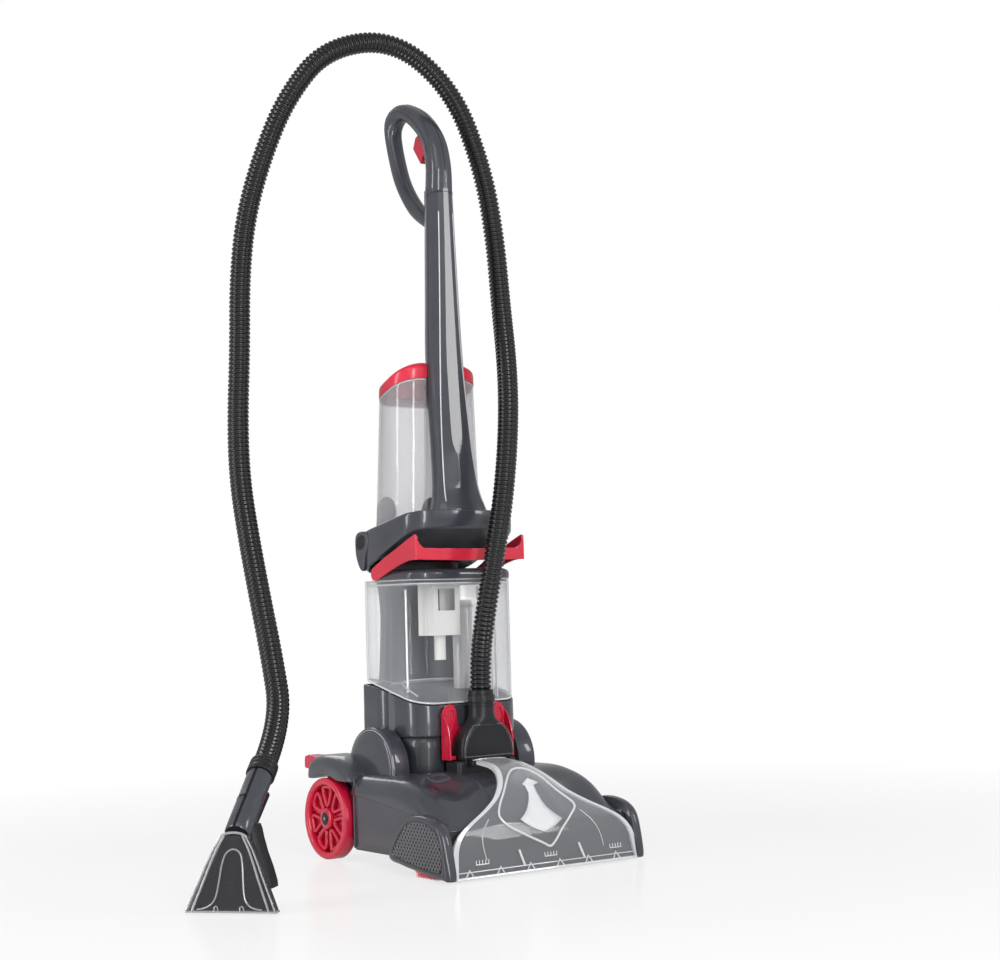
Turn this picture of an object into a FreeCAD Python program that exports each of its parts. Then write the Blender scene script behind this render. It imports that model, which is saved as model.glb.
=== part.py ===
"""Upright carpet washer: wheeled base with suction nozzle and brushes, reclining tower with
two tanks and a loop handle, and a free hose with its hand tool. Millimetres, +Z up, the front
of the nozzle faces -Y, the origin is on the floor under the middle of the machine."""
import FreeCAD, Part
import math
import os
import Sketcher

Vector = FreeCAD.Vector
doc = FreeCAD.newDocument("CarpetWasher")
sheet = doc.addObject("Spreadsheet::Sheet", "Sizes")

SIZES = [
    # overall
    ("machine_width", 320), ("machine_depth", 380), ("wall", 3), ("floor_gap", 18),
    # clearances
    ("seat_gap", 0.3), ("shaft_gap", 0.05), ("run_gap", 0.5), ("swing_gap", 2.5),
    # wheels
    ("wheel_radius", 55), ("wheel_width", 22), ("wheel_inset", 7), ("wheel_gap", 3),
    ("wheel_face_x", "=machine_width / 2 - wheel_inset"),
    ("arm_tail", 40), ("arm_rear_y", "=machine_depth / 2 - arm_tail"),
    ("wheel_tail", 33), ("wheel_y", "=arm_rear_y - wheel_tail"),
    ("axle_radius", 5), ("rim_depth", 10), ("hub_radius", 13), ("spoke_window", 12),
    # base casing
    ("side_inset", 15), ("side_half", "=machine_width / 2 - side_inset"),
    ("arm_half", "=wheel_face_x - wheel_width - wheel_gap"), ("arm_front_y", 57),
    ("tray_height", 52), ("hood_top", 119), ("hump_top", 141), ("hump_inset", 9),
    ("hump_half", "=machine_width / 2 - hump_inset"),
    # tower pivot
    ("pivot_y", 50), ("pivot_z", 122), ("tower_half", 88), ("tower_radius", 71),
    ("foot_swell", 0.6),
    ("pin_radius", 12), ("pin_inset", 8), ("trunnion_radius", 54), ("trunnion_width", 30.5),
    # brush bay and nozzle
    ("lip_reach", 27), ("bay_front_y", "=lip_reach - machine_depth / 2"), ("bay_length", 71),
    ("bay_rear_y", "=bay_front_y + bay_length"), ("roof_z", 58), ("roof_thickness", 4),
    ("cheek_gap", 0.3), ("cheek_height", 78), ("window_depth", 1.5),
    ("slot_gap", 8), ("cover_wall", 3), ("neck_half", 28), ("neck_z", 136),
    ("lip_inset", 10), ("lip_half", "=machine_width / 2 - lip_inset"),
    # brush drive
    ("crank_reach", 38), ("crank_y", "=bay_front_y + crank_reach"),
    ("crank_throw", 5), ("crank_pin_radius", 3), ("crank_disc_radius", 11),
    ("crank_shaft_radius", 4), ("crank_pulley_radius", 17), ("pulley_height", 7),
    ("motor_x", 62), ("motor_y", -52), ("brush_motor_radius", 24), ("brush_motor_height", 38),
    ("motor_pulley_radius", 8), ("belt_thickness", 2),
    # brushes
    ("brush_end_gap", 12), ("brush_half", "=side_half - brush_end_gap"),
    ("brush_plate_width", 48), ("brush_block_width", 36),
    ("brush_plate_z", 26), ("brush_plate_thickness", 6), ("brush_block_z", 12),
    ("end_block_length", 42), ("inner_half", 74), ("brush_travel", 6), ("tuft_radius", 1.8),
    ("tuft_pitch", 9), ("tuft_floor_gap", 1),
    # hose port
    ("port_half", 48), ("port_depth", 34), ("port_rear_y", -24), ("port_z", 134),
    ("door_half", 53), ("door_height", 74), ("door_thickness", 2.5), ("door_side_depth", 20),
    ("adapter_half", 42), ("adapter_depth", 25), ("adapter_height", 54), ("neck_radius", 18),
    ("neck_height", 44), ("hose_y", -45),
    # pedal
    ("pedal_overhang", 6), ("pedal_x", "=arm_half + pedal_overhang"), ("pedal_width", 30),
    ("pedal_z", 122), ("pedal_pin_radius", 3),
    # tower casing
    ("corner_radius", 34), ("seam_front_z", 207), ("seam_rear_z", 235), ("spine_front_y", 96),
    ("spine_foot", 74), ("spine_waist", 56), ("spine_waist_z", 330), ("collar_z", 404),
    ("band_front_z", 437), ("band_rear_z", 409), ("dock_height", 6), ("guide_width", 32),
    ("guide_top_z", 492), ("switch_x", 40), ("switch_z", 178), ("switch_width", 14),
    ("switch_height", 16), ("switch_pin_radius", 1.1), ("gland_z", 165), ("gland_radius", 8),
    ("gland_length", 12), ("gland_bore", 4.1),
    ("collar_rim_z", 446), ("collar_floor_z", 424), ("collar_half", 90),
    ("collar_front_y", -26), ("collar_rear_y", 122),
    # suction unit
    ("mount_z", 74), ("motor_radius", 38), ("motor_height", 62), ("fan_radius", 49),
    ("fan_height", 22), ("fan_case_wall", 3), ("fan_gap", 2), ("motor_shaft_radius", 4),
    # recovery tank
    ("tank_half", 85), ("tank_front_y", -20), ("tank_rear_y", 94), ("tank_wall", 2.5),
    ("tank_top_z", 378), ("lid_height", 13), ("gasket_height", 4),
    ("float_y", 30), ("float_x", -14), ("cage_radius", 22), ("cage_height", 78),
    ("float_radius", 17), ("float_height", 26), ("float_stem_radius", 8), ("float_stem", 36),
    ("gasket_width", 1.7), ("standpipe_radius", 14),
    ("standpipe_x", 34), ("standpipe_y", 44),
    # bail
    ("bail_rise", 8),
    ("bail_y", 76), ("bail_z", "=tank_top_z + bail_rise"), ("bail_thickness", 4), ("bail_height", 16),
    ("bail_gap", 13), ("bail_front_gap", 6), ("bail_pin_radius", 3),
    # clean tank
    ("clean_half", 74), ("clean_taper", 7), ("clean_front_y", 26), ("clean_rear_y", 118),
    ("clean_height", 232), ("clean_corner", 34), ("clean_wall", 2), ("groove_depth", 20),
    ("lid_front_z", 668), ("lid_fall", 26), ("lid_thickness", 18), ("pocket_depth", 30),
    ("pocket_half", 26), ("pocket_length", 40), ("lift_travel", 100),
    ("valve_y", 76), ("valve_radius", 6), ("valve_cap_radius", 16),
    # column and grip
    ("column_foot_half", 31), ("column_top_half", 16), ("column_wall", 2.5),
    ("column_foot_y", 4), ("column_mid_y", 24), ("column_mid_z", 690), ("column_top_z", 925),
    ("column_depth", 32), ("grip_half", 15), ("grip_top_z", 1068),
    ("trigger_half", 7), ("trigger_pin_radius", 2.5), ("rod_radius", 2.5),
    ("hook_z", 850), ("hook_half", 5), ("hook_reach", 12), ("hook_drop", 22),
    # hose and hand tool
    ("hose_radius", 14.5), ("cuff_radius", 17.5), ("cuff_length", 22),
    ("tool_x", -454.7), ("tool_y", -187.1), ("tool_yaw", -49),
    ("tool_mouth_half", 56), ("tool_mouth_depth", 13), ("tool_wall", 2),
    ("tool_hood_height", 86), ("tool_grip_radius", 15.5), ("tool_bend_y", 22),
    ("tool_bend_z", 84), ("tool_end_y", 99), ("tool_end_z", 143), ("tool_lever_half", 6),
    ("tool_lever_start", 30), ("tool_lever_drop", 21), ("tool_pin_radius", 2),
]
for row, (alias, value) in enumerate(SIZES, 1):
    sheet.set("A%d" % row, alias)
    sheet.set("B%d" % row, str(value))
    sheet.setAlias("B%d" % row, alias)
doc.recompute()

nodes = []


def number(expression):
    """Value of an expression over the sheet's sizes."""
    return float(sheet.evalExpression(str(expression)))


def bound(expression):
    """The same expression as an object of the document writes it."""
    names = sorted((alias for alias, _ in SIZES), key=len, reverse=True)
    text = str(expression)
    for index, name in enumerate(names):
        text = text.replace(name, "<%d>" % index)
    for index, name in enumerate(names):
        text = text.replace("<%d>" % index, "Sizes." + name)
    return text


def keep(item):
    """Marks an object as a piece of the machine, written under its Label."""
    nodes.append(item)
    return item


# ---------------------------------------------------------------- solids from bound sizes
TURN = {
    "Z": FreeCAD.Rotation(),
    "X": FreeCAD.Rotation(Vector(0, 1, 0), 90),
    "Y": FreeCAD.Rotation(Vector(1, 0, 0), -90),
}


def place(item, x, y, z):
    for axis, expression in (("x", x), ("y", y), ("z", z)):
        item.setExpression("Placement.Base." + axis, bound(expression))
    return item


def cylinder(label, radius, height, x, y, z, axis="Z"):
    """Cylinder that starts at a point and runs along +X, +Y or +Z."""
    item = doc.addObject("Part::Cylinder", label)
    item.Label = label
    item.Placement = FreeCAD.Placement(Vector(), TURN[axis])
    item.setExpression("Radius", bound(radius))
    item.setExpression("Height", bound(height))
    return place(item, x, y, z)


def block(label, size, x, y, z):
    """Box of a size that starts at its lowest corner."""
    item = doc.addObject("Part::Box", label)
    item.Label = label
    for side, expression in zip(("Length", "Width", "Height"), size):
        item.setExpression(side, bound(expression))
    return place(item, x, y, z)


def join(label, items):
    item = doc.addObject("Part::MultiFuse", label)
    item.Label = label
    item.Shapes = items
    item.Refine = True
    return item


def cut(label, base, tool):
    item = doc.addObject("Part::Cut", label)
    item.Label = label
    item.Base = base
    item.Tool = tool
    return item


def group(label, items):
    """Several like solids that share one node."""
    item = doc.addObject("Part::Compound", label)
    item.Label = label
    item.Links = items
    return item


def new_body(label):
    item = doc.addObject("PartDesign::Body", label)
    item.Label = label
    return item


def outline(body, role, points, centre):
    """Closed sketch whose corners are held by expressions, on a plane moved along its normal."""
    plane = [f for f in body.Origin.OriginFeatures if f.Role == role][0]
    drawing = body.newObject("Sketcher::SketchObject", body.Name + "Sketch")
    drawing.AttachmentSupport = [(plane, "")]
    drawing.MapMode = "FlatFace"
    drawing.setExpression("AttachmentOffset.Base.z", bound(centre))
    corners = [(number(a), number(b)) for a, b in points]
    count = len(points)
    for index, corner in enumerate(corners):
        after = corners[(index + 1) % count]
        drawing.addGeometry(Part.LineSegment(Vector(*corner, 0), Vector(*after, 0)))
    for index in range(count):
        drawing.addConstraint(Sketcher.Constraint("Coincident", index, 2, (index + 1) % count, 1))
    for index, point in enumerate(points):
        for kind, side in (("DistanceX", 0), ("DistanceY", 1)):
            held = drawing.addConstraint(
                Sketcher.Constraint(kind, index, 1, corners[index][side])
            )
            drawing.setExpression("Constraints[%d]" % held, bound(point[side]))
    return drawing


def ring_sketch(body, role, a, b, radius, centre):
    """Sketch of one circle held by expressions."""
    plane = [f for f in body.Origin.OriginFeatures if f.Role == role][0]
    drawing = body.newObject("Sketcher::SketchObject", body.Name + "Sketch")
    drawing.AttachmentSupport = [(plane, "")]
    drawing.MapMode = "FlatFace"
    drawing.setExpression("AttachmentOffset.Base.z", bound(centre))
    spot = Vector(number(a), number(b), 0)
    drawing.addGeometry(Part.Circle(spot, Vector(0, 0, 1), number(radius)))
    held = (
        (Sketcher.Constraint("DistanceX", 0, 3, spot.x), a),
        (Sketcher.Constraint("DistanceY", 0, 3, spot.y), b),
        (Sketcher.Constraint("Radius", 0, spot.Length + 1), radius),
    )
    for constraint, expression in held:
        index = drawing.addConstraint(constraint)
        drawing.setExpression("Constraints[%d]" % index, bound(expression))
    return drawing


def feature(body, kind, drawing, length):
    """Pad or Pocket of a sketch, to both sides of its plane."""
    item = body.newObject("PartDesign::" + kind, body.Name + kind)
    item.Profile = drawing
    item.SideType = "Symmetric"
    item.setExpression("Length", bound(length))
    drawing.Visibility = False
    return item


def pad(body, role, points, length, centre="0"):
    return feature(body, "Pad", outline(body, role, points, centre), length)


def pocket(body, role, points, length, centre="0"):
    return feature(body, "Pocket", outline(body, role, points, centre), length)


def bore(body, role, a, b, radius, length, centre="0"):
    return feature(body, "Pocket", ring_sketch(body, role, a, b, radius, centre), length)


def both_sides(maker, body, role, points, length, centre):
    """The same pad or pocket at the left and at the right of the machine."""
    maker(body, role, points, length, centre)
    maker(body, role, points, length, "-(" + centre + ")")


# ---------------------------------------------------------------- solids from free functions
class Sizes:
    """Numbers of the sheet for the pieces that are lofted or swept."""


v = Sizes()
for alias, _ in SIZES:
    setattr(v, alias, float(sheet.get(alias)))


def add(label, shape):
    item = doc.addObject("Part::Feature", label)
    item.Label = label
    item.Shape = shape
    return keep(item)


def rounded(x_half, y_low, y_high, radius, z):
    """Rounded rectangle at a height, from its half width, its front and its rear."""
    radius = min(radius, x_half * 0.98, (y_high - y_low) * 0.49)
    edges = []
    ring = [
        (x_half, y_low, 1, -1), (x_half, y_high, 1, 1),
        (-x_half, y_high, -1, 1), (-x_half, y_low, -1, -1),
    ]
    starts = []
    for index, (x, y, sx, sy) in enumerate(ring):
        a = Vector(x - sx * radius, y, z)
        b = Vector(x, y - sy * radius, z)
        k = radius * (1 - math.sqrt(0.5))
        middle = Vector(x - sx * k, y - sy * k, z)
        first, last = (a, b) if index % 2 == 0 else (b, a)
        starts.append((first, middle, last))
    for index, (first, middle, last) in enumerate(starts):
        edges.append(Part.Arc(first, middle, last).toShape())
        edges.append(Part.LineSegment(last, starts[(index + 1) % 4][0]).toShape())
    return Part.Wire(edges)


def loft(wires, ruled=True):
    return Part.makeLoft(wires, True, ruled)


def side_prism(points, x_low, x_high):
    """Solid from a YZ outline between two X positions."""
    wire = Part.makePolygon([Vector(x_low, y, z) for y, z in points + points[:1]])
    return Part.Face(wire).extrude(Vector(x_high - x_low, 0, 0))


def rod(start, end, radius):
    line = end - start
    return Part.makeCylinder(radius, line.Length, start, line)


def rounded_path(points):
    """Straight runs joined by tangent arcs as large as the runs allow."""
    edges = []
    at = points[0]
    for before, corner, after in zip(points, points[1:], points[2:]):
        u = (before - corner).normalize()
        w = (after - corner).normalize()
        turn = math.pi - u.getAngle(w)
        reach = 0.45 * min((before - corner).Length, (after - corner).Length)
        radius = reach / math.tan(turn / 2)
        first = corner + u * reach
        last = corner + w * reach
        depth = radius / math.cos(turn / 2) - radius
        middle = corner + (u + w).normalize() * depth
        edges.append(Part.LineSegment(at, first).toShape())
        edges.append(Part.Arc(first, middle, last).toShape())
        print("bend radius %.0f" % radius)
        at = last
    edges.append(Part.LineSegment(at, points[-1]).toShape())
    return Part.Wire(edges)


def tube(points, radius):
    """Solid of round section along a rounded path."""
    path = rounded_path(points)
    ring = Part.Wire(Part.makeCircle(radius, points[0], points[1] - points[0]))
    solid = path.makePipeShell([ring], True, False)
    solid = solid if solid.ShapeType == "Solid" else Part.Solid(solid)
    ideal = math.pi * radius ** 2 * path.Length
    print("tube length %.0f volume ratio %.4f" % (path.Length, solid.Volume / ideal))
    return solid


# ---------------------------------------------------------------- base casing
front = "(-machine_depth / 2)"


def chassis():
    """Open tray that carries the axle and the brush motor, wide in front, narrow at the arms."""
    body = new_body("base_chassis")

    def tray(inset):
        wide = "(side_half - wall - seat_gap - %s)" % inset
        narrow = "(arm_half - wall - seat_gap - %s)" % inset
        y_front = "(bay_rear_y + seat_gap + %s)" % inset
        y_step = "(arm_front_y - wall - seat_gap - %s)" % inset
        y_rear = "(arm_rear_y - wall - seat_gap - %s)" % inset
        return [
            ("-" + wide, y_front), (wide, y_front), (wide, y_step), (narrow, y_step),
            (narrow, y_rear), ("-" + narrow, y_rear), ("-" + narrow, y_step),
            ("-" + wide, y_step),
        ]

    pad(body, "XY_Plane", tray("0"), "tray_height", "floor_gap + tray_height / 2")
    pocket(body, "XY_Plane", tray("wall"), "tray_height", "floor_gap + wall + tray_height / 2")
    belt_way = [
        ("-crank_pulley_radius - swing_gap", "roof_z"), ("motor_x", "roof_z"),
        ("motor_x", "floor_gap + tray_height + 1"),
        ("-crank_pulley_radius - swing_gap", "floor_gap + tray_height + 1"),
    ]
    pocket(body, "XZ_Plane", belt_way, "4 * wall", "-bay_rear_y - wall")
    bore(body, "YZ_Plane", "wheel_y", "wheel_radius", "axle_radius + shaft_gap", "machine_width")
    return keep(body)


def hood():
    """Top casing: sloping shell over the brush drive, two rear arms and two wheel humps."""
    body = new_body("base_hood")
    recess = "(tower_half + swing_gap)"
    low = "(floor_gap + 2)"
    top = "hood_top"
    skin = [
        ("arm_front_y", low), ("arm_front_y", top + " - 1"), ("bay_rear_y + 42", top + " + 1"),
        ("bay_rear_y - 13", top + " - 16"), ("bay_rear_y - 43", top + " - 39"),
        ("bay_front_y + 16", "roof_z + 11.5"), ("bay_front_y + 2", "roof_z + seat_gap"),
        ("bay_rear_y", "roof_z + seat_gap"), ("bay_rear_y", low),
    ]
    inside = [
        ("arm_front_y - wall", "0"), ("arm_front_y - wall", top + " - 1 - wall"),
        ("bay_rear_y + 42", top + " + 1 - wall"), ("bay_rear_y - 12", top + " - 16 - wall"),
        ("bay_rear_y - 41.5", top + " - 39.5 - wall"), ("bay_front_y + 17", "roof_z + 8"),
        ("bay_front_y + 8", "roof_z"), ("bay_rear_y - 1", "roof_z"), ("bay_rear_y - 1", "0"),
    ]
    pad(body, "YZ_Plane", skin, "2 * side_half")
    arm_centre = "(%s + arm_half) / 2" % recess
    arm = [
        ("arm_front_y - wall", low), ("arm_rear_y", low), ("arm_rear_y", top + " - 1"),
        ("arm_front_y - wall", top + " - 1"),
    ]
    both_sides(pad, body, "YZ_Plane", arm, "arm_half - " + recess, arm_centre)
    hump = [
        ("arm_front_y - 1.5", top + " - 12"), ("arm_front_y - 1.5", top + " - 1.5"),
        ("arm_front_y + 1", top), ("wheel_y - 35", "hump_top - 8"),
        ("wheel_y - 14", "hump_top - 1"), ("wheel_y + 12", "hump_top"),
        ("arm_rear_y", "hump_top - 6"), ("arm_rear_y", top + " - 12"),
    ]
    hump_inside = [
        ("arm_front_y + wall", "0"), ("arm_front_y + wall", top + " - 1.5"),
        ("wheel_y - 34", "hump_top - 8 - wall"), ("wheel_y - 13.5", "hump_top - 1 - wall"),
        ("wheel_y + 12", "hump_top - wall"), ("arm_rear_y - wall", "hump_top - 6 - wall"),
        ("arm_rear_y - wall", "0"),
    ]
    hump_width = "(hump_half - %s - 9)" % recess
    hump_centre = "hump_half - %s / 2" % hump_width
    both_sides(pad, body, "YZ_Plane", hump, hump_width, hump_centre)
    pocket(body, "YZ_Plane", inside, "2 * side_half - 2 * wall")
    arm_inside = [
        ("arm_front_y - 2 * wall", "0"), ("arm_rear_y - wall", "0"),
        ("arm_rear_y - wall", top + " - 1 - wall"), ("arm_front_y - 2 * wall", top + " - 1 - wall"),
    ]
    both_sides(
        pocket, body, "YZ_Plane", arm_inside, "arm_half - %s - 2 * wall" % recess, arm_centre
    )
    both_sides(
        pocket, body, "YZ_Plane", hump_inside, "%s - 2 * wall" % hump_width, hump_centre
    )
    tray_room = [
        ("arm_front_y - wall - seat_gap", "0"), ("arm_rear_y - wall", "0"),
        ("arm_rear_y - wall", "floor_gap + tray_height + seat_gap"),
        ("arm_front_y - wall - seat_gap", "floor_gap + tray_height + seat_gap"),
    ]
    pocket(body, "YZ_Plane", tray_room, "2 * (arm_half - wall)")
    cradle = "(tower_radius + swing_gap)"
    bore(body, "YZ_Plane", "pivot_y", "pivot_z", cradle, "2 * " + recess)
    behind = [
        ("pivot_y + foot_swell - " + cradle, "pivot_z"),
        ("pivot_y + foot_swell - " + cradle, "pivot_z + 60"),
        ("arm_rear_y + 60", "pivot_z + 60"),
        ("arm_rear_y + 60", "pivot_z + foot_swell - " + cradle),
        ("pivot_y", "pivot_z + foot_swell - " + cradle),
    ]
    pocket(body, "YZ_Plane", behind, "2 * " + recess)
    for side in ("", "-"):
        centre = side + "(tower_half + swing_gap + (trunnion_width + seat_gap) / 2)"
        bore(
            body, "YZ_Plane", "pivot_y", "pivot_z", "trunnion_radius + seat_gap",
            "trunnion_width + seat_gap + 2 * run_gap", centre,
        )
        arch = side + "(arm_half + wheel_width)"
        bore(
            body, "YZ_Plane", "wheel_y", "wheel_radius", "wheel_radius + swing_gap + 1",
            "2 * wheel_width", arch,
        )
    bore(body, "YZ_Plane", "wheel_y", "wheel_radius", "axle_radius + shaft_gap", "machine_width")
    port = [
        ("-port_half - seat_gap", "port_rear_y + 5"), ("port_half + seat_gap", "port_rear_y + 5"),
        ("port_half + seat_gap", "port_rear_y - port_depth - seat_gap"),
        ("-port_half - seat_gap", "port_rear_y - port_depth - seat_gap"),
    ]
    pocket(body, "XY_Plane", port, "60", "port_z")
    lug = [
        ("arm_rear_y - 1", "pedal_z - 8"), ("arm_rear_y + 13", "pedal_z - 8"),
        ("arm_rear_y + 13", "pedal_z + 6"), ("arm_rear_y - 1", "pedal_z + 6"),
    ]
    pad(body, "YZ_Plane", lug, "6", "-pedal_x + pedal_width / 2 + 3.5")
    bore(
        body, "YZ_Plane", "arm_rear_y + 7", "pedal_z", "pedal_pin_radius + shaft_gap", "20",
        "-pedal_x + pedal_width / 2 + 3",
    )
    return keep(body)


def cheek_outline(inset):
    """Outline of the nozzle's side cheek, moved inwards by a margin."""
    return [
        (front + " + 1 + 3 * %s" % inset, "0.6 + 2 * %s" % inset),
        (front + " + 15 + %s" % inset, "cheek_height - 20"),
        (front + " + 30 + %s / 2" % inset, "cheek_height - 6.5 - %s" % inset),
        (front + " + 57", "cheek_height - %s" % inset),
        (front + " + 100 - %s / 2" % inset, "cheek_height - 8 - %s" % inset),
        (front + " + 129 - %s" % inset, "cheek_height - 35"),
        (front + " + 139 - 2 * %s" % inset, "17 + %s" % inset),
        (front + " + 76", "7 + %s" % inset),
        (front + " + 16", "0.6 + 2 * %s" % inset),
    ]


def nozzle_frame():
    """Brush bay: roof, rear wall and the two outer cheeks with their window recesses."""
    body = new_body("nozzle_frame")
    roof = [
        ("bay_front_y", "roof_z - roof_thickness"), ("bay_rear_y", "roof_z - roof_thickness"),
        ("bay_rear_y", "roof_z"), ("bay_front_y", "roof_z"),
    ]
    pad(body, "YZ_Plane", roof, "2 * side_half + 4")
    rear = [
        ("bay_rear_y - wall", "floor_gap"), ("bay_rear_y", "floor_gap"),
        ("bay_rear_y", "roof_z - 1"), ("bay_rear_y - wall", "roof_z - 1"),
    ]
    pad(body, "YZ_Plane", rear, "2 * side_half + 4")
    thickness = "(machine_width / 2 - side_half - cheek_gap)"
    centre = "machine_width / 2 - %s / 2" % thickness
    both_sides(pad, body, "YZ_Plane", cheek_outline("0"), thickness, centre)
    both_sides(
        pocket, body, "YZ_Plane", cheek_outline("7"), "2 * window_depth", "machine_width / 2"
    )
    for sign in ("", "-"):
        lip_notch = [
            (sign + "side_half", front + " - 1"),
            (sign + "(lip_half + seat_gap)", front + " - 1"),
            (sign + "(lip_half + seat_gap)", front + " + 0.6"),
            (sign + "(lip_half - 5 + seat_gap)", front + " + 8.6"),
            (sign + "side_half", front + " + 8.6"),
        ]
        pocket(body, "XY_Plane", lip_notch, "80", "0")
    bore(
        body, "XY_Plane", "0", "crank_y", "crank_shaft_radius + shaft_gap", "20",
        "roof_z - roof_thickness / 2",
    )
    return keep(body)


def side_window(side, sign):
    """Textured panel in a cheek's recess."""
    body = new_body("side_window_" + side)
    thin = "(window_depth - seat_gap)"
    centre = sign + "(machine_width / 2 - window_depth + %s / 2)" % thin
    pad(body, "YZ_Plane", cheek_outline("7.3"), thin, centre)
    return body


def nozzle_back():
    """Grey rear wall of the suction slot, from the front edge of the roof to the floor."""
    body = new_body("nozzle_back")
    wall_line = [
        ("bay_front_y - seat_gap", "roof_z"),
        (front + " + slot_gap + cover_wall + wall", "2"),
        (front + " + slot_gap + cover_wall", "2"),
        ("bay_front_y - seat_gap - wall", "roof_z"),
    ]
    pad(body, "YZ_Plane", wall_line, "2 * side_half - 2 * seat_gap")
    return keep(body)


def nozzle_cover():
    """Clear cover of the suction channel: narrow neck that flares to the full-width lip."""
    body = new_body("nozzle_cover")
    neck_y = "(port_rear_y - port_depth - seat_gap)"
    band = [
        (neck_y, "neck_z"), (neck_y + " - 45", "neck_z - 5"),
        (neck_y + " - 82", "neck_z - 24"), (front + " + 12", "neck_z - 74"),
        (front + " + 3", "14"), (front, "0"), (front + " + cover_wall", "0"),
        (front + " + 3 + cover_wall", "14 - cover_wall / 4"),
        (front + " + 12 + cover_wall", "neck_z - 74 - cover_wall / 2"),
        (neck_y + " - 82 + cover_wall / 2", "neck_z - 24 - cover_wall"),
        (neck_y + " - 45", "neck_z - 5 - cover_wall"), (neck_y, "neck_z - cover_wall"),
    ]
    pad(body, "YZ_Plane", band, "2 * lip_half")
    for sign in ("", "-"):
        flare = [
            (sign + "neck_half", "0"), (sign + "neck_half", neck_y + " - 43"),
            (sign + "(neck_half + 12)", neck_y + " - 78"),
            (sign + "(neck_half + 40)", front + " + 30"),
            (sign + "(lip_half - 18)", front + " + 15"), (sign + "(lip_half - 5)", front + " + 8"),
            (sign + "lip_half", front), (sign + "(lip_half + 20)", front),
            (sign + "(lip_half + 20)", "0"),
        ]
        pocket(body, "XY_Plane", flare, "300", "neck_z / 2")
    return keep(body)


def port_block():
    """Moulded port on the hood where the nozzle's neck or the hose adapter plugs in."""
    body = new_body("port_block")

    def ring(inset):
        rear = "port_rear_y - " + inset
        near = "port_rear_y - port_depth + " + inset
        half = "(port_half - %s)" % inset
        return [("-" + half, near), (half, near), (half, rear), ("-" + half, rear)]

    pad(body, "XY_Plane", ring("0"), "30", "port_z - 15")
    pocket(body, "XY_Plane", ring("8"), "80", "port_z - 15")
    return keep(body)


def edge_brushes():
    """Bristle strips under both cheeks."""
    sides = []
    for name, sign in (("left", "-"), ("right", "")):
        body = new_body("edge_strip_" + name)
        strip = [
            (front + " + 26", "0.3"), (front + " + 76", "0.3"),
            (front + " + 76", "6.7"), (front + " + 26", "1.3"),
        ]
        pad(body, "YZ_Plane", strip, "7", sign + "(machine_width / 2 - 7)")
        sides.append(body)
    return keep(group("edge_brushes", sides))


chassis()
hood()
nozzle_frame()
keep(group("side_windows", [side_window("left", "-"), side_window("right", "")]))
nozzle_back()
nozzle_cover()
port_block()
edge_brushes()
keep(cylinder(
    "wheel_axle", "axle_radius", "2 * wheel_face_x - 6", "-wheel_face_x + 3", "wheel_y",
    "wheel_radius", "X",
))
covers = []
trunnion_x = "(tower_half + swing_gap + run_gap)"
for name, x_start, hole_x in (
    ("left", "-%s - trunnion_width" % trunnion_x, "-%s - trunnion_width + wall" % trunnion_x),
    ("right", trunnion_x, trunnion_x),
):
    disc = cylinder(
        "trunnion_disc_" + name, "trunnion_radius", "trunnion_width", x_start, "pivot_y",
        "pivot_z", "X",
    )
    hole = cylinder(
        "trunnion_hole_" + name, "pin_radius + shaft_gap", "trunnion_width - wall", hole_x,
        "pivot_y", "pivot_z", "X",
    )
    covers.append(cut("trunnion_" + name, disc, hole))
keep(group("trunnion_covers", covers))


# ---------------------------------------------------------------- wheels and pedal
def wheel(label, sign):
    """Moulded wheel: deep rim, hub and a web with seven windows, drawn round its own axle."""
    body = new_body(label)
    disc = ring_sketch(body, "YZ_Plane", "0", "0", "wheel_radius", "0")
    feature(body, "Pad", disc, "wheel_width")
    face = sign + "wheel_width / 2"
    dish = ring_sketch(body, "YZ_Plane", "0", "0", "wheel_radius - 7", face)
    dish.addGeometry(Part.Circle(Vector(), Vector(0, 0, 1), v.hub_radius))
    dish.addConstraint(Sketcher.Constraint("Coincident", 1, 3, 0, 3))
    held = dish.addConstraint(Sketcher.Constraint("Radius", 1, v.hub_radius))
    dish.setExpression("Constraints[%d]" % held, bound("hub_radius"))
    feature(body, "Pocket", dish, "2 * rim_depth")
    window = [
        ("-spoke_window / 3", "hub_radius + 4"), ("spoke_window / 3", "hub_radius + 4"),
        ("spoke_window / 2", "wheel_radius - 12"), ("-spoke_window / 2", "wheel_radius - 12"),
    ]
    gap = pocket(body, "YZ_Plane", window, "4 * wheel_width")
    doc.recompute()
    spokes = body.newObject("PartDesign::PolarPattern", label + "Windows")
    spokes.Originals = [gap]
    spokes.Axis = (dish, ["N_Axis"])
    spokes.Angle = 360
    spokes.Occurrences = 7
    body.Tip = spokes
    bore(body, "YZ_Plane", "0", "0", "axle_radius + shaft_gap", "machine_width")
    place(body, sign + "(wheel_face_x - wheel_width / 2)", "wheel_y", "wheel_radius")
    return keep(body)


def pedal():
    """Foot pedal behind the left wheel hump, turning on a pin in a lug of the hood."""
    body = new_body("recline_pedal")
    shape = [
        ("arm_rear_y + 3", "pedal_z - 5"), ("arm_rear_y + 0.8", "pedal_z + 2"),
        ("arm_rear_y + 0.8", "pedal_z + 10"), ("arm_rear_y + 24", "pedal_z + 13"),
        ("machine_depth / 2", "pedal_z + 12"), ("machine_depth / 2", "pedal_z + 3"),
        ("arm_rear_y + 22", "pedal_z - 1"), ("arm_rear_y + 12", "pedal_z - 5"),
    ]
    pad(body, "YZ_Plane", shape, "pedal_width", "-pedal_x")
    bore(
        body, "YZ_Plane", "arm_rear_y + 7", "pedal_z", "pedal_pin_radius + shaft_gap",
        "2 * pedal_width", "-pedal_x",
    )
    return keep(body)


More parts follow.
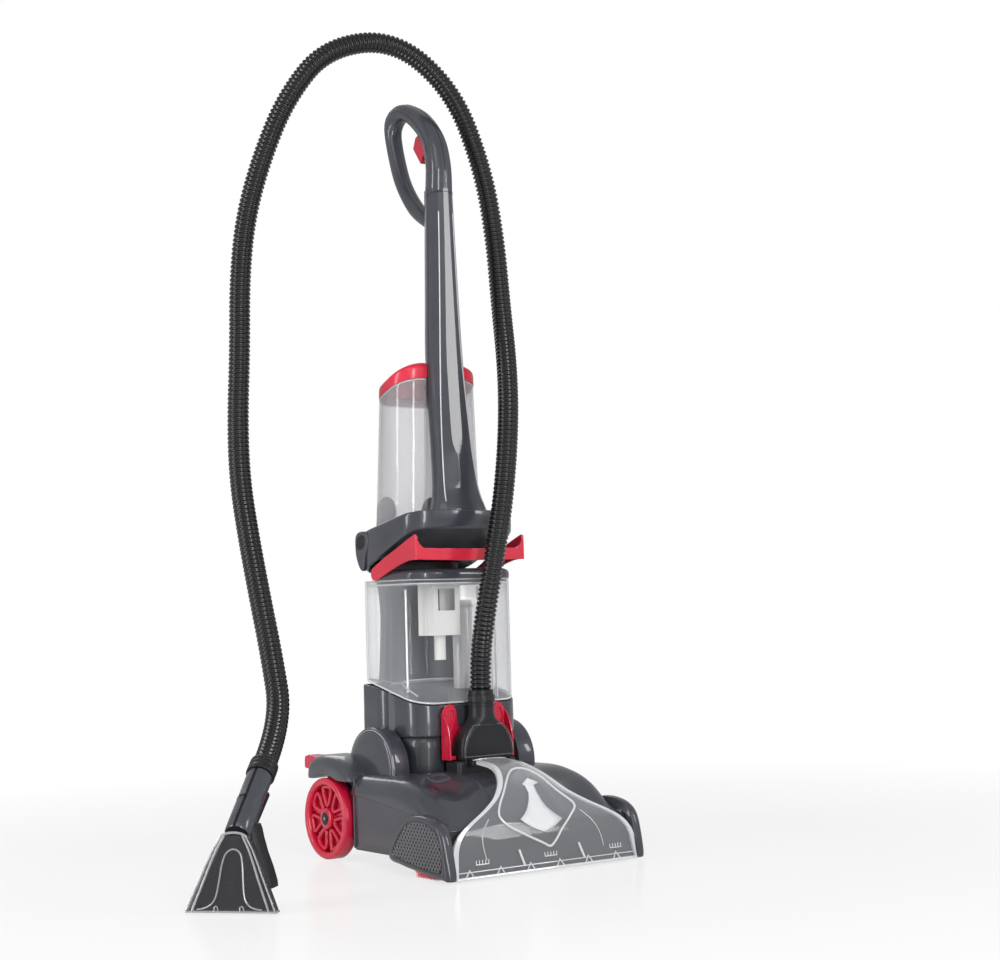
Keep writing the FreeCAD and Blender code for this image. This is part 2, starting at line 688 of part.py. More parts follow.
wheel("wheel_left", "-")
wheel("wheel_right", "")
pedal()
keep(cylinder(
    "pedal_pin", "pedal_pin_radius", "pedal_width + 8", "-pedal_x - pedal_width / 2 - 1",
    "arm_rear_y + 7", "pedal_z", "X",
))


# ---------------------------------------------------------------- brush drive and brushes
tray_floor = "(floor_gap + wall)"
pulley_z = "(roof_z + swing_gap)"
keep(cylinder(
    "brush_motor", "brush_motor_radius", "brush_motor_height", "motor_x", "motor_y",
    tray_floor,
))
motor_top = "(%s + brush_motor_height)" % tray_floor
keep(join("motor_pulley", [
    cylinder("motor_pulley_wheel", "motor_pulley_radius", "pulley_height", "motor_x", "motor_y",
             pulley_z),
    cylinder("motor_pulley_hub", "crank_shaft_radius", "%s - %s" % (pulley_z, motor_top),
             "motor_x", "motor_y", motor_top + " + seat_gap"),
]))
disc_z = "(roof_z - roof_thickness - swing_gap - 5)"
keep(join("crank_pulley", [
    cylinder("crank_wheel", "crank_pulley_radius", "pulley_height", "0", "crank_y", pulley_z),
    cylinder("crank_shaft", "crank_shaft_radius", "%s - %s" % (pulley_z, disc_z), "0",
             "crank_y", disc_z),
    cylinder("crank_disc", "crank_disc_radius", "5", "0", "crank_y", disc_z),
    cylinder("crank_pin", "crank_pin_radius", "9", "crank_throw", "crank_y", disc_z + " - 8"),
]))


def belt():
    """Flat belt round the motor pulley and the crank pulley."""
    a = Vector(v.motor_x, v.motor_y, 0)
    b = Vector(0, v.crank_y, 0)

    def hull(gap, low, high):
        radius_a = v.motor_pulley_radius + gap
        radius_b = v.crank_pulley_radius + gap
        line = b - a
        swing = math.asin((radius_b - radius_a) / line.Length)
        heading = math.atan2(line.y, line.x)
        corners = []
        for centre, radius, side in ((a, radius_a, 1), (b, radius_b, 1), (b, radius_b, -1),
                                     (a, radius_a, -1)):
            angle = heading + side * (math.pi / 2 + swing)
            corners.append(centre + Vector(math.cos(angle), math.sin(angle), 0) * radius)
        wire = Part.makePolygon([Vector(p.x, p.y, low) for p in corners + corners[:1]])
        solid = Part.Face(wire).extrude(Vector(0, 0, high - low))
        for centre, radius in ((a, radius_a), (b, radius_b)):
            solid = solid.fuse(Part.makeCylinder(radius, high - low, Vector(centre.x, centre.y, low)))
        return solid.removeSplitter()

    low = v.roof_z + v.swing_gap + v.run_gap
    high = low + v.pulley_height - 2 * v.run_gap
    outer = hull(v.seat_gap + v.belt_thickness, low, high)
    return add("drive_belt", outer.cut(hull(v.seat_gap, low - 1, high + 1)))


belt()
plate_top = "(brush_plate_z + brush_plate_thickness)"


def tufts(name, rows, x_from, x_to, front_y, skew):
    """Rows of bristle tufts that hang from a brush block."""
    items = []
    length = v.brush_block_z - v.tuft_floor_gap
    count = int((x_to - x_from) // v.tuft_pitch)
    for row in range(rows):
        for index in range(count + 1):
            x = x_from + (x_to - x_from - count * v.tuft_pitch) / 2 + index * v.tuft_pitch
            y = front_y + v.tuft_pitch * (row + 0.5)
            shift = skew * (row - (rows - 1) / 2)
            spot = Vector(x + shift, y, v.tuft_floor_gap)
            items.append(Part.makeCylinder(v.tuft_radius, length, spot))
    return items


def brush_outer():
    """Long bar with a block at each end and a slot through which the inner bar is driven."""
    y_low = v.crank_y - v.brush_plate_width / 2
    plate = Part.makeBox(
        2 * v.brush_half, v.brush_plate_width, v.brush_plate_thickness,
        Vector(-v.brush_half, y_low, v.brush_plate_z),
    )
    boss_x = v.crank_throw + v.crank_pin_radius + v.brush_travel + 4
    slot_x = boss_x + 2 * v.brush_travel + v.run_gap
    slot_y = v.crank_throw + v.crank_pin_radius + 4
    slot = Part.makeBox(
        2 * slot_x, 2 * slot_y, 3 * v.brush_plate_thickness,
        Vector(-slot_x, v.crank_y - slot_y, v.brush_plate_z - v.brush_plate_thickness),
    )
    shape = plate.cut(slot)
    block_y = v.crank_y - v.brush_block_width / 2
    for start in (-v.brush_half, v.brush_half - v.end_block_length):
        end_block = Part.makeBox(
            v.end_block_length, v.brush_block_width, v.brush_plate_z - v.brush_block_z,
            Vector(start, block_y, v.brush_block_z),
        )
        shape = shape.fuse(end_block)
        for item in tufts("end", 4, start + 3, start + v.end_block_length - 3, block_y, 0):
            shape = shape.fuse(item)
    return add("brush_outer", shape.removeSplitter())


def brush_inner():
    """Slanted middle block with the cup that the crank pin turns in."""
    half_width = v.brush_block_width / 2
    skew = half_width / 2
    low = v.brush_block_z
    top = v.brush_plate_z - v.seat_gap
    corners = [
        Vector(-v.inner_half - skew + 4, v.crank_y - half_width, low),
        Vector(v.inner_half - skew + 4, v.crank_y - half_width, low),
        Vector(v.inner_half + skew - 4, v.crank_y + half_width, low),
        Vector(-v.inner_half + skew - 4, v.crank_y + half_width, low),
    ]
    face = Part.Face(Part.makePolygon(corners + corners[:1]))
    shape = face.extrude(Vector(0, 0, top - low))
    cup_x = v.crank_throw + v.crank_pin_radius + v.brush_travel + 4
    cup_y = v.crank_throw + v.crank_pin_radius + 4 - v.run_gap
    cup_top = v.roof_z - v.roof_thickness - v.swing_gap - 5 - 2
    cup = Part.makeBox(2 * cup_x, 2 * cup_y, cup_top - top, Vector(-cup_x, v.crank_y - cup_y, top))
    well_z = v.brush_plate_z + v.brush_plate_thickness + 2
    well = Part.makeBox(
        2 * cup_x - 4, 2 * cup_y - 4, cup_top, Vector(2 - cup_x, v.crank_y - cup_y + 2, well_z)
    )
    shape = shape.fuse(cup).cut(well)
    lean = skew / 2
    for item in tufts("middle", 4, 8 - v.inner_half, v.inner_half - 8,
                      v.crank_y - half_width, lean - 1):
        shape = shape.fuse(item)
    return add("brush_inner", shape.removeSplitter())


brush_outer()
brush_inner()


def brush_guides():
    """Two rails under the roof that carry the edges of the brush bar."""
    rails = []
    half = "(brush_half + brush_travel + 1)"
    edge = "(brush_plate_width / 2)"
    for name, sign in (("front", -1), ("rear", 1)):
        body = new_body("guide_" + name)
        s = "%d * " % sign
        lip_y = "crank_y + %s(%s - 4)" % (s, edge)
        web_in = "crank_y + %s(%s + seat_gap)" % (s, edge)
        web_out = "crank_y + %s(%s + seat_gap + wall)" % (s, edge)
        lip_top = "brush_plate_z - seat_gap"
        lip_low = "brush_plate_z - seat_gap - 3"
        rail = [
            (lip_y, lip_low), (web_out, lip_low), (web_out, "roof_z - roof_thickness"),
            (web_in, "roof_z - roof_thickness"), (web_in, lip_top), (lip_y, lip_top),
        ]
        pad(body, "YZ_Plane", rail, "2 * " + half)
        rails.append(body)
    return keep(group("brush_guides", rails))


brush_guides()


def spray_bar():
    """Water pipe under the front of the roof with its row of spray tips."""
    y = v.crank_y - v.brush_plate_width / 2 - v.seat_gap - v.wall - 6
    z = v.roof_z - v.roof_thickness - 4
    half = v.side_half - 30
    shape = Part.makeCylinder(4, 2 * half, Vector(-half, y, z), Vector(1, 0, 0))
    for x in (-90, -45, 0, 45, 90):
        tip = Part.makeCone(3, 1.5, 7, Vector(x, y, z - 2), Vector(0, 0, -1))
        shape = shape.fuse(tip)
    return add("spray_bar", shape.removeSplitter())


spray_bar()


# ---------------------------------------------------------------- hose port
def port_door():
    """Red door of the hose port, folded up against the tower: back plate and side walls."""
    body = new_body("port_door")
    rear = "(port_rear_y - 1)"
    low = "(port_z + seat_gap)"
    plate = [
        ("-door_half", low), ("door_half", low), ("door_half", low + " + door_height - 14"),
        ("door_half - 5", low + " + door_height - 4"), ("door_half - 14", low + " + door_height"),
        ("adapter_half - 12", low + " + door_height"), ("adapter_half - 16", low + " + 50"),
        ("16 - adapter_half", low + " + 50"), ("12 - adapter_half", low + " + door_height"),
        ("14 - door_half", low + " + door_height"),
        ("5 - door_half", low + " + door_height - 4"), ("-door_half", low + " + door_height - 14"),
    ]
    pad(body, "XZ_Plane", plate, "door_thickness", "-(%s - door_thickness / 2)" % rear)
    wing = [
        (rear, low), (rear, low + " + door_height - 14"),
        (rear + " - 8", low + " + door_height - 14"),
        (rear + " - door_side_depth", low + " + 24"), (rear + " - door_side_depth", low),
    ]
    both_sides(
        pad, body, "YZ_Plane", wing, "door_thickness", "door_half - door_thickness / 2"
    )
    return keep(body)


def hose_adapter():
    """Black fan-shaped plug in the port, narrowing to the round neck of the hose."""
    y_low = v.hose_y - v.adapter_depth / 2
    y_high = v.hose_y + v.adapter_depth / 2
    base = v.port_z + v.seat_gap
    sections = [
        (base, v.adapter_half), (base + 0.45 * v.adapter_height, v.adapter_half - 2),
        (base + 0.75 * v.adapter_height, v.adapter_half - 8),
        (base + v.adapter_height, v.neck_radius + 1),
    ]
    fan = loft([rounded(half, y_low, y_high, 6, z) for z, half in sections])
    top = base + v.adapter_height
    neck = Part.makeCylinder(v.neck_radius - 3, v.neck_height, Vector(0, v.hose_y, top - 6))
    collar = Part.makeCylinder(v.neck_radius, v.neck_height - 12, Vector(0, v.hose_y, top + 6))
    tongue = Part.makeBox(
        2 * (v.port_half - 8 - v.run_gap), v.port_depth - 16 - 2 * v.run_gap, 14,
        Vector(-v.port_half + 8 + v.run_gap, v.port_rear_y - v.port_depth + 8 + v.run_gap, base - 14),
    )
    return add("hose_adapter", fan.fuse([neck, collar, tongue]).removeSplitter())


port_door()
hose_adapter()
screws = []
for index, (x, y) in enumerate((
    ("-side_half + 40", "bay_rear_y + 30"), ("side_half - 40", "bay_rear_y + 30"),
    ("-arm_half + 22", "arm_rear_y - 24"), ("arm_half - 22", "arm_rear_y - 24"),
)):
    screws.append(cylinder("base_screw_%d" % index, "4", "2", x, y, "floor_gap - 2"))
keep(group("base_screws", screws))


# ---------------------------------------------------------------- lower casing of the tower
tower_front = v.pivot_y - v.tower_radius
tower_rear = v.pivot_y + v.tower_radius


def casing_solid(inset):
    """Upright rounded box over a half-round foot, with its sloping deck for the tank."""
    top = v.seam_rear_z + 5
    prism = loft([
        rounded(v.tower_half - inset, tower_front + inset, tower_rear - inset,
                v.corner_radius - inset, z)
        for z in (v.pivot_z - v.tower_radius - 5, top)
    ])
    body = side_prism(
        [
            (tower_front, v.pivot_z), (tower_front, v.seam_front_z - inset),
            (v.spine_front_y, v.seam_rear_z - inset), (tower_rear, v.seam_rear_z - inset),
            (tower_rear, v.pivot_z),
        ],
        -v.tower_half, v.tower_half,
    )
    foot = rod(
        Vector(-v.tower_half, v.pivot_y, v.pivot_z), Vector(v.tower_half, v.pivot_y, v.pivot_z),
        v.tower_radius + v.foot_swell - inset,
    )
    return prism.common(body.fuse(foot))


def lower_casing():
    """Front and rear shells of the lower casing, with pin holes, vents, switch and cord gland."""
    shell = casing_solid(0).cut(casing_solid(v.wall))
    half = v.tower_half + 1
    shell = shell.cut(rod(
        Vector(-half, v.pivot_y, v.pivot_z), Vector(half, v.pivot_y, v.pivot_z),
        v.pin_radius + v.shaft_gap,
    ))
    low = v.pivot_z - v.tower_radius - 1
    high = v.seam_rear_z + 1
    front_half = Part.makeBox(
        2 * half, v.tower_radius + 1, high - low, Vector(-half, tower_front - 1, low)
    )
    add("lower_casing_front", shell.common(front_half))
    rear = shell.cut(front_half)
    for row in range(6):
        slot = Part.makeBox(56, 4 * v.wall, 4, Vector(-28, tower_rear - 2 * v.wall, 150 + 9 * row))
        rear = rear.cut(slot)
    window = Part.makeBox(
        v.switch_width + 2 * v.swing_gap / 2, 4 * v.wall, v.switch_height + v.swing_gap,
        Vector(v.switch_x - v.switch_width / 2 - v.swing_gap / 2, tower_rear - 2 * v.wall,
               v.switch_z - v.switch_height / 2 - v.swing_gap / 2),
    )
    reach = v.switch_width / 2 + v.swing_gap + 1
    socket = rod(
        Vector(v.switch_x - reach, tower_rear - v.wall / 2, v.switch_z),
        Vector(v.switch_x + reach, tower_rear - v.wall / 2, v.switch_z),
        v.switch_pin_radius + v.shaft_gap,
    )
    gland = rod(
        Vector(-v.switch_x, tower_rear - v.wall, v.gland_z),
        Vector(-v.switch_x, tower_rear + v.gland_length, v.gland_z), v.gland_radius,
    )
    lead = rod(
        Vector(-v.switch_x, tower_rear - 2 * v.wall, v.gland_z),
        Vector(-v.switch_x, tower_rear + v.gland_length + 1, v.gland_z), v.gland_bore,
    )
    rear = rear.cut(window).cut(socket).fuse(gland).cut(lead).removeSplitter()
    add("lower_casing_rear", rear)


def power_switch():
    """Rocker in the rear casing, on two small pins of its own."""
    x = v.switch_x
    y = tower_rear - v.wall / 2
    reach = v.switch_width / 2 + v.swing_gap + 1 - v.seat_gap
    key = Part.makeBox(
        v.switch_width, v.wall + 3, v.switch_height,
        Vector(x - v.switch_width / 2, y - v.wall / 2 - 1, v.switch_z - v.switch_height / 2),
    )
    pins = rod(Vector(x - reach, y, v.switch_z), Vector(x + reach, y, v.switch_z),
               v.switch_pin_radius)
    return add("power_switch", key.fuse(pins).removeSplitter())


lower_casing()
power_switch()
pin_length = "(pin_inset + swing_gap + run_gap + trunnion_width - wall - seat_gap)"
keep(group("recline_pins", [
    cylinder("recline_pin_left", "pin_radius", pin_length, "pin_inset - tower_half - " + pin_length,
             "pivot_y", "pivot_z", "X"),
    cylinder("recline_pin_right", "pin_radius", pin_length, "tower_half - pin_inset", "pivot_y",
             "pivot_z", "X"),
]))

# suction unit and pump
mount_half = "(sqrt((tower_radius - wall)^2 - (pivot_z - mount_z)^2) - seat_gap)"
keep(block(
    "motor_mount", ("2 * tower_half - 2 * wall - 14", "2 * " + mount_half, "wall"),
    "wall + 7 - tower_half", "pivot_y - " + mount_half, "mount_z",
))
motor_z = "(mount_z + wall + seat_gap)"
case_z = "(%s + motor_height + seat_gap)" % motor_z
case_radius = "(fan_radius + fan_gap + fan_case_wall)"
keep(cylinder("suction_motor", "motor_radius", "motor_height", "0", "pivot_y", motor_z))
case_cup = cut(
    "fan_case_cup",
    cylinder("fan_case_outer", case_radius, "fan_height + 4 * fan_gap", "0", "pivot_y", case_z),
    cylinder("fan_case_inner", "fan_radius + fan_gap", "fan_height + 4 * fan_gap", "0",
             "pivot_y", case_z + " + fan_case_wall"),
)
keep(cut(
    "fan_case", case_cup,
    cylinder("fan_case_eye", "motor_shaft_radius + 1", "2 * fan_case_wall + 2", "0", "pivot_y",
             case_z + " - 1"),
))


def suction_fan():
    """Impeller: back plate, hub, shaft stub and nine swept blades."""
    base = number(case_z) + v.fan_case_wall + v.fan_gap
    centre = Vector(0, v.pivot_y, 0)
    shape = Part.makeCylinder(v.fan_radius, 2, centre + Vector(0, 0, base))
    shape = shape.fuse(Part.makeCylinder(14, v.fan_height, centre + Vector(0, 0, base)))
    stub = number(case_z) + v.seat_gap
    shape = shape.fuse(Part.makeCylinder(
        v.motor_shaft_radius, base - stub + 1, centre + Vector(0, 0, stub)
    ))
    for index in range(9):
        blade = Part.makeBox(v.fan_radius - 18, 2, v.fan_height, Vector(16, 0, base))
        blade.rotate(Vector(16, 0, 0), Vector(0, 0, 1), 24)
        blade.rotate(Vector(), Vector(0, 0, 1), 40 * index)
        blade.translate(centre)
        shape = shape.fuse(blade)
    rim = Part.makeCylinder(v.fan_radius, v.fan_height, centre + Vector(0, 0, base))
    return add("suction_fan", shape.common(rim.fuse(Part.makeCylinder(
        v.motor_shaft_radius, base - stub + 1, centre + Vector(0, 0, stub)
    ))).removeSplitter())


suction_fan()
keep(block(
    "water_pump", ("26", "40", "34"), "-tower_half + wall + 8", "pivot_y - 20", motor_z,
))


# ---------------------------------------------------------------- spine and collar
def spine():
    """Waisted hollow spine behind the recovery tank, from the casing to the collar."""
    body = new_body("spine")

    def outline_points(inset):
        foot = "(spine_foot - %s)" % inset
        waist = "(spine_waist - %s)" % inset
        low = "seam_rear_z + seat_gap + %s" % inset
        high = "collar_z - seat_gap - %s" % inset
        right = [
            (foot, low), (foot, "seam_rear_z + 12"), (waist, "spine_waist_z - 30"),
            (waist, "spine_waist_z + 20"), ("(spine_foot - 10 - %s)" % inset, high),
        ]
        return right + [("-" + a, b) for a, b in reversed(right)]

    depth = "(pivot_y + tower_radius - spine_front_y)"
    middle = "-(spine_front_y + %s / 2)" % depth
    pad(body, "XZ_Plane", outline_points("0"), depth, middle)
    pocket(body, "XZ_Plane", outline_points("wall"), depth + " - 2 * wall", middle)
    return keep(body)


spine()


def band_edge(y, low_front, low_rear):
    """Height of a sloping edge of the collar at a depth."""
    share = (y - v.collar_front_y) / (v.collar_rear_y - v.collar_front_y)
    return low_front + (low_rear - low_front) * share


def collar():
    """Saddle ring that carries the clean tank: sloping band, cone below, floor, dock and guide."""
    y_low = v.collar_front_y
    y_high = v.collar_rear_y
    beyond = 20
    band = loft([rounded(v.collar_half, y_low, y_high, v.corner_radius + 4, z)
                 for z in (v.collar_z - beyond, v.collar_rim_z + beyond)])
    edges = [
        (y_low - 1, band_edge(y_low - 1, v.band_front_z, v.band_rear_z)),
        (y_high + 1, band_edge(y_high + 1, v.band_front_z, v.band_rear_z)),
        (y_high + 1, band_edge(y_high + 1, v.collar_rim_z + 4, v.collar_rim_z - 16)),
        (y_low - 1, band_edge(y_low - 1, v.collar_rim_z + 4, v.collar_rim_z - 16)),
    ]
    slope = side_prism(edges, -v.collar_half - 1, v.collar_half + 1)
    cone = loft([
        rounded(v.collar_half - 24, y_low + 52, y_high, v.corner_radius - 6, v.collar_z),
        rounded(v.collar_half - 9, y_low + 11, y_high, v.corner_radius, v.collar_floor_z + 8),
    ])
    outer = band.common(slope).fuse(cone)
    tray = loft([rounded(v.collar_half - v.wall, y_low + v.wall, y_high - v.wall,
                         v.corner_radius + 1, z)
                 for z in (v.collar_floor_z, v.collar_rim_z + beyond)])
    under = loft([
        rounded(v.collar_half - 24 - v.wall, y_low + 52 + v.wall, y_high - v.wall,
                v.corner_radius - 9, v.collar_z - 1),
        rounded(v.collar_half - 14 - v.wall, y_low + 24 + v.wall, y_high - v.wall,
                v.corner_radius - 4, v.collar_floor_z - v.wall),
    ])
    shape = outer.cut(tray).cut(under)
    spot = Vector(0, v.valve_y, v.collar_floor_z - 1)
    dock = Part.makeCylinder(v.valve_cap_radius, v.dock_height + 1, spot)
    well = Part.makeCylinder(v.valve_radius + 2, v.dock_height + 8, spot - Vector(0, 0, 5))
    tongue = Part.makeBox(
        v.guide_width, v.wall, v.guide_top_z - v.collar_floor_z,
        Vector(-v.guide_width / 2, y_high - v.wall, v.collar_floor_z),
    )
    return add("collar", shape.fuse([dock, tongue]).cut(well).removeSplitter())


collar()


# ---------------------------------------------------------------- column and grip
COLUMN = [
    (v.collar_floor_z + v.seat_gap, v.column_foot_half, v.column_foot_y),
    (v.collar_rim_z + 42, v.column_foot_half - 3, v.column_foot_y + 2),
    (v.collar_rim_z + 96, v.column_foot_half - 6, v.column_foot_y + 8),
    (v.column_mid_z, v.column_top_half + 6, v.column_mid_y),
    (v.column_top_z, v.column_top_half, v.column_mid_y + 3),
]


def column_at(z):
    """Half width and middle depth of the column at a height."""
    for (z_a, half_a, y_a), (z_b, half_b, y_b) in zip(COLUMN, COLUMN[1:]):
        if z <= z_b:
            share = (z - z_a) / (z_b - z_a)
            return half_a + share * (half_b - half_a), y_a + share * (y_b - y_a)
    return COLUMN[-1][1], COLUMN[-1][2]


def column():
    """Front and rear shells of the tapered column."""
    half_depth = v.column_depth / 2

    def solid(inset, reach):
        rings = []
        for index, (z, half, y) in enumerate(COLUMN):
            shift = reach * ((index == len(COLUMN) - 1) - (index == 0))
            rings.append(rounded(half - inset, y - half_depth + inset, y + half_depth - inset,
                                 10 - inset, z + shift))
        return loft(rings)

    shell = solid(0, 0).cut(solid(v.column_wall, 1))
    line = [(y, z) for z, _, y in COLUMN]
    line = [(line[0][0], line[0][1] - 2)] + line + [(line[-1][0], line[-1][1] + 2)]
    ahead = [(v.collar_front_y - 20, line[-1][1]), (v.collar_front_y - 20, line[0][1])]
    front_side = side_prism(line + ahead, -v.column_foot_half - 1, v.column_foot_half + 1)
    add("column_front", shell.common(front_side))
    add("column_rear", shell.cut(front_side))


column()
top_y = "(column_mid_y + 3)"
rear_y = "(column_mid_y + 3 + column_depth / 2 + seat_gap)"
top_z = "(column_top_z + seat_gap)"


def grip_half(label, sign):
    """Half shell of the loop handle, with the trigger's recess and the finger opening."""
    body = new_body(label)
    g = "grip_top_z"
    outside = [
        (top_y + " - column_depth / 2", top_z), (top_y + " - column_depth / 2 - 1", g + " - 108"),
        (top_y + " - 6", g + " - 66"), (top_y + " + 26", g + " - 28"),
        (top_y + " + 66", g + " - 5"), (top_y + " + 96", g), (top_y + " + 118", g + " - 9"),
        (top_y + " + 124", g + " - 28"), (top_y + " + 114", g + " - 78"),
        (top_y + " + 96", g + " - 122"), (top_y + " + 62", g + " - 168"),
        (rear_y, g + " - 200"), (rear_y, top_z),
    ]
    opening = [
        (top_y + " + 21", top_z + " + 4"), (top_y + " + 14", g + " - 98"),
        (top_y + " + 32", g + " - 64"), (top_y + " + 62", g + " - 34"),
        (top_y + " + 86", g + " - 24"), (top_y + " + 102", g + " - 36"),
        (top_y + " + 97", g + " - 66"), (top_y + " + 80", g + " - 110"),
        (top_y + " + 54", g + " - 146"), (rear_y + " + 6", g + " - 168"),
    ]
    centre = sign + "grip_half / 2"
    pad(body, "YZ_Plane", outside, "grip_half", centre)
    pocket(body, "YZ_Plane", opening, "2 * grip_half", centre)
    recess = [
        (top_y + " - 10", top_z + " + 6"), (top_y + " + 20", top_z + " + 6"),
        (top_y + " + 20", g + " - 92"), (top_y + " + 46", g + " - 48"),
        (top_y + " + 24", g + " - 46"), (top_y + " + 4", g + " - 60"),
        (top_y + " - 10", g + " - 96"),
    ]
    pocket(body, "YZ_Plane", recess, "2 * trigger_half + 1")
    rod_way = [
        (top_y + " - 5", top_z + " - 5"), (top_y + " + 4", top_z + " - 5"),
        (top_y + " + 4", top_z + " + 8"), (top_y + " - 5", top_z + " + 8"),
    ]
    pocket(body, "YZ_Plane", rod_way, "4 * rod_radius")
    bore(body, "YZ_Plane", top_y + " + 24", g + " - 58", "trigger_pin_radius + shaft_gap",
         "2 * trigger_half + 9")
    return keep(body)


grip_half("grip_left", "-")
grip_half("grip_right", "")


def trigger():
    """Red squeeze trigger with its own pins and the arm that lifts the valve rod."""
    body = new_body("grip_trigger")
    g = "grip_top_z"
    shape = [
        (top_y + " + 18", g + " - 56"), (top_y + " + 27", g + " - 52"),
        (top_y + " + 44", g + " - 60"), (top_y + " + 50", g + " - 74"),
        (top_y + " + 32", g + " - 99"), (top_y + " + 26", g + " - 90"),
        (top_y + " + 14", g + " - 84"), (top_y + " + 6", g + " - 102"),
        (top_y + " - 3", g + " - 107"), (top_y + " - 3", g + " - 100"),
    ]
    pad(body, "YZ_Plane", shape, "2 * trigger_half")
    pins = ring_sketch(body, "YZ_Plane", top_y + " + 24", g + " - 58", "trigger_pin_radius", "0")
    feature(body, "Pad", pins, "2 * trigger_half + 8")
    return keep(body)


trigger()


def trigger_rod():
    """Straight rod inside the column from under the trigger's arm to above the collar floor."""
    top = Vector(0, v.column_mid_y + 3, v.grip_top_z - 107 - v.seat_gap)
    foot = Vector(0, v.column_foot_y + 1, v.collar_floor_z + 14)
    return add("trigger_rod", rod(foot, top, v.rod_radius))


trigger_rod()


def cord_hook():
    """Turning hook for the wound cord, behind the column, with its pivot shank."""
    _, y = column_at(v.hook_z)
    face = y + v.column_depth / 2 + v.seat_gap
    shank = rod(Vector(0, face, v.hook_z), Vector(0, face + v.hook_reach, v.hook_z), 5)
    arm = Part.makeBox(
        2 * v.hook_half, 3, v.hook_drop,
        Vector(-v.hook_half, face + v.hook_reach - 3, v.hook_z),
    )
    return add("cord_hook", shank.fuse(arm).removeSplitter())


cord_hook()


# ---------------------------------------------------------------- recovery tank
def tank_solid(inset, z_low, z_high):
    return loft([
        rounded(v.tank_half - inset, v.tank_front_y + inset, v.tank_rear_y - inset,
                v.corner_radius - 2 - inset, z)
        for z in (z_low, z_high)
    ])


def deck_cut(lift):
    """Everything above the sloping deck, raised by a gap."""
    far = 60
    slope = (v.seam_rear_z - v.seam_front_z) / (v.spine_front_y - tower_front)
    low = v.seam_front_z - slope * far + lift
    high = v.seam_rear_z + slope * far + lift
    return side_prism(
        [(tower_front - far, low), (v.spine_front_y + far, high),
         (v.spine_front_y + far, v.collar_rim_z), (tower_front - far, v.collar_rim_z)],
        -v.tower_half, v.tower_half,
    )


def recovery_tank():
    """Clear tank, open at the top, with its standpipe moulded in."""
    outer = tank_solid(0, v.seam_front_z - 20, v.tank_top_z).common(deck_cut(v.run_gap))
    inner = tank_solid(v.tank_wall, v.seam_front_z - 20, v.tank_top_z + 5)
    inner = inner.common(deck_cut(v.run_gap + v.tank_wall))
    spot = Vector(v.standpipe_x, v.standpipe_y, v.seam_front_z)
    pipe = Part.makeCylinder(v.standpipe_radius, v.tank_top_z - 30 - v.seam_front_z, spot)
    pipe = pipe.common(deck_cut(v.run_gap + 1))
    bore_top = Part.makeCylinder(v.standpipe_radius - 2, v.tank_top_z - v.seam_front_z, spot)
    return add("recovery_tank", outer.cut(inner).fuse(pipe).cut(bore_top).removeSplitter())


lid_z = v.tank_top_z + v.seat_gap
skirt_inset = v.tank_wall + v.seat_gap + v.gasket_width + v.seat_gap


def tank_lid():
    """Dark lid of the recovery tank with a skirt inside the tank and two bail pins."""
    plate = tank_solid(-1, lid_z, lid_z + v.lid_height)
    hollow = tank_solid(v.wall, lid_z + v.wall, lid_z + v.lid_height + 1)
    skirt = tank_solid(skirt_inset, lid_z - 9, lid_z + 1)
    skirt = skirt.cut(tank_solid(skirt_inset + 2, lid_z - 10, lid_z + 2))
    shape = plate.cut(hollow).fuse(skirt)
    for sign in (-1, 1):
        start = Vector(sign * (v.tank_half - 1), v.bail_y, v.bail_z)
        end = Vector(sign * (v.tank_half + 1 + v.run_gap + v.bail_thickness), v.bail_y, v.bail_z)
        shape = shape.fuse(rod(start, end, v.bail_pin_radius))
    return add("tank_lid", shape.removeSplitter())


def lid_gasket():
    """Rubber ring round the lid's skirt."""
    ring = tank_solid(v.tank_wall + v.seat_gap, lid_z - 7, lid_z - 7 + v.gasket_height)
    inset = v.tank_wall + v.seat_gap + v.gasket_width
    return add("lid_gasket", ring.cut(tank_solid(inset, lid_z - 8, lid_z)))


def float_cage():
    """White box under the lid that guides the float."""
    x = v.float_x
    y = v.float_y
    r = v.cage_radius
    low = lid_z - v.seat_gap - v.cage_height
    box = Part.makeBox(2 * r, 2 * r - 6, v.cage_height, Vector(x - r, y - r + 3, low))
    hollow = Part.makeBox(2 * r - 4, 2 * r - 10, v.cage_height - 4, Vector(x - r + 2, y - r + 5, low + 2))
    hole = Part.makeCylinder(v.float_stem_radius + v.run_gap, 8, Vector(x, y, low - 3))
    window = Part.makeBox(2 * r - 16, 3 * r, 30, Vector(x - r + 8, y - 1.5 * r, low + 34))
    return add("float_cage", box.cut(hollow).cut(hole).cut(window))


def float_piece():
    """Float in its cage, with the stem that hangs through the cage's floor."""
    x = v.float_x
    y = v.float_y
    r = v.float_radius
    low = lid_z - v.seat_gap - v.cage_height + 2 + v.seat_gap
    head = Part.makeBox(2 * r, 2 * r - 6, v.float_height, Vector(x - r, y - r + 3, low))
    stem = Part.makeCylinder(v.float_stem_radius, v.float_stem + 4, Vector(x, y, low - v.float_stem))
    return add("float", head.fuse(stem).removeSplitter())


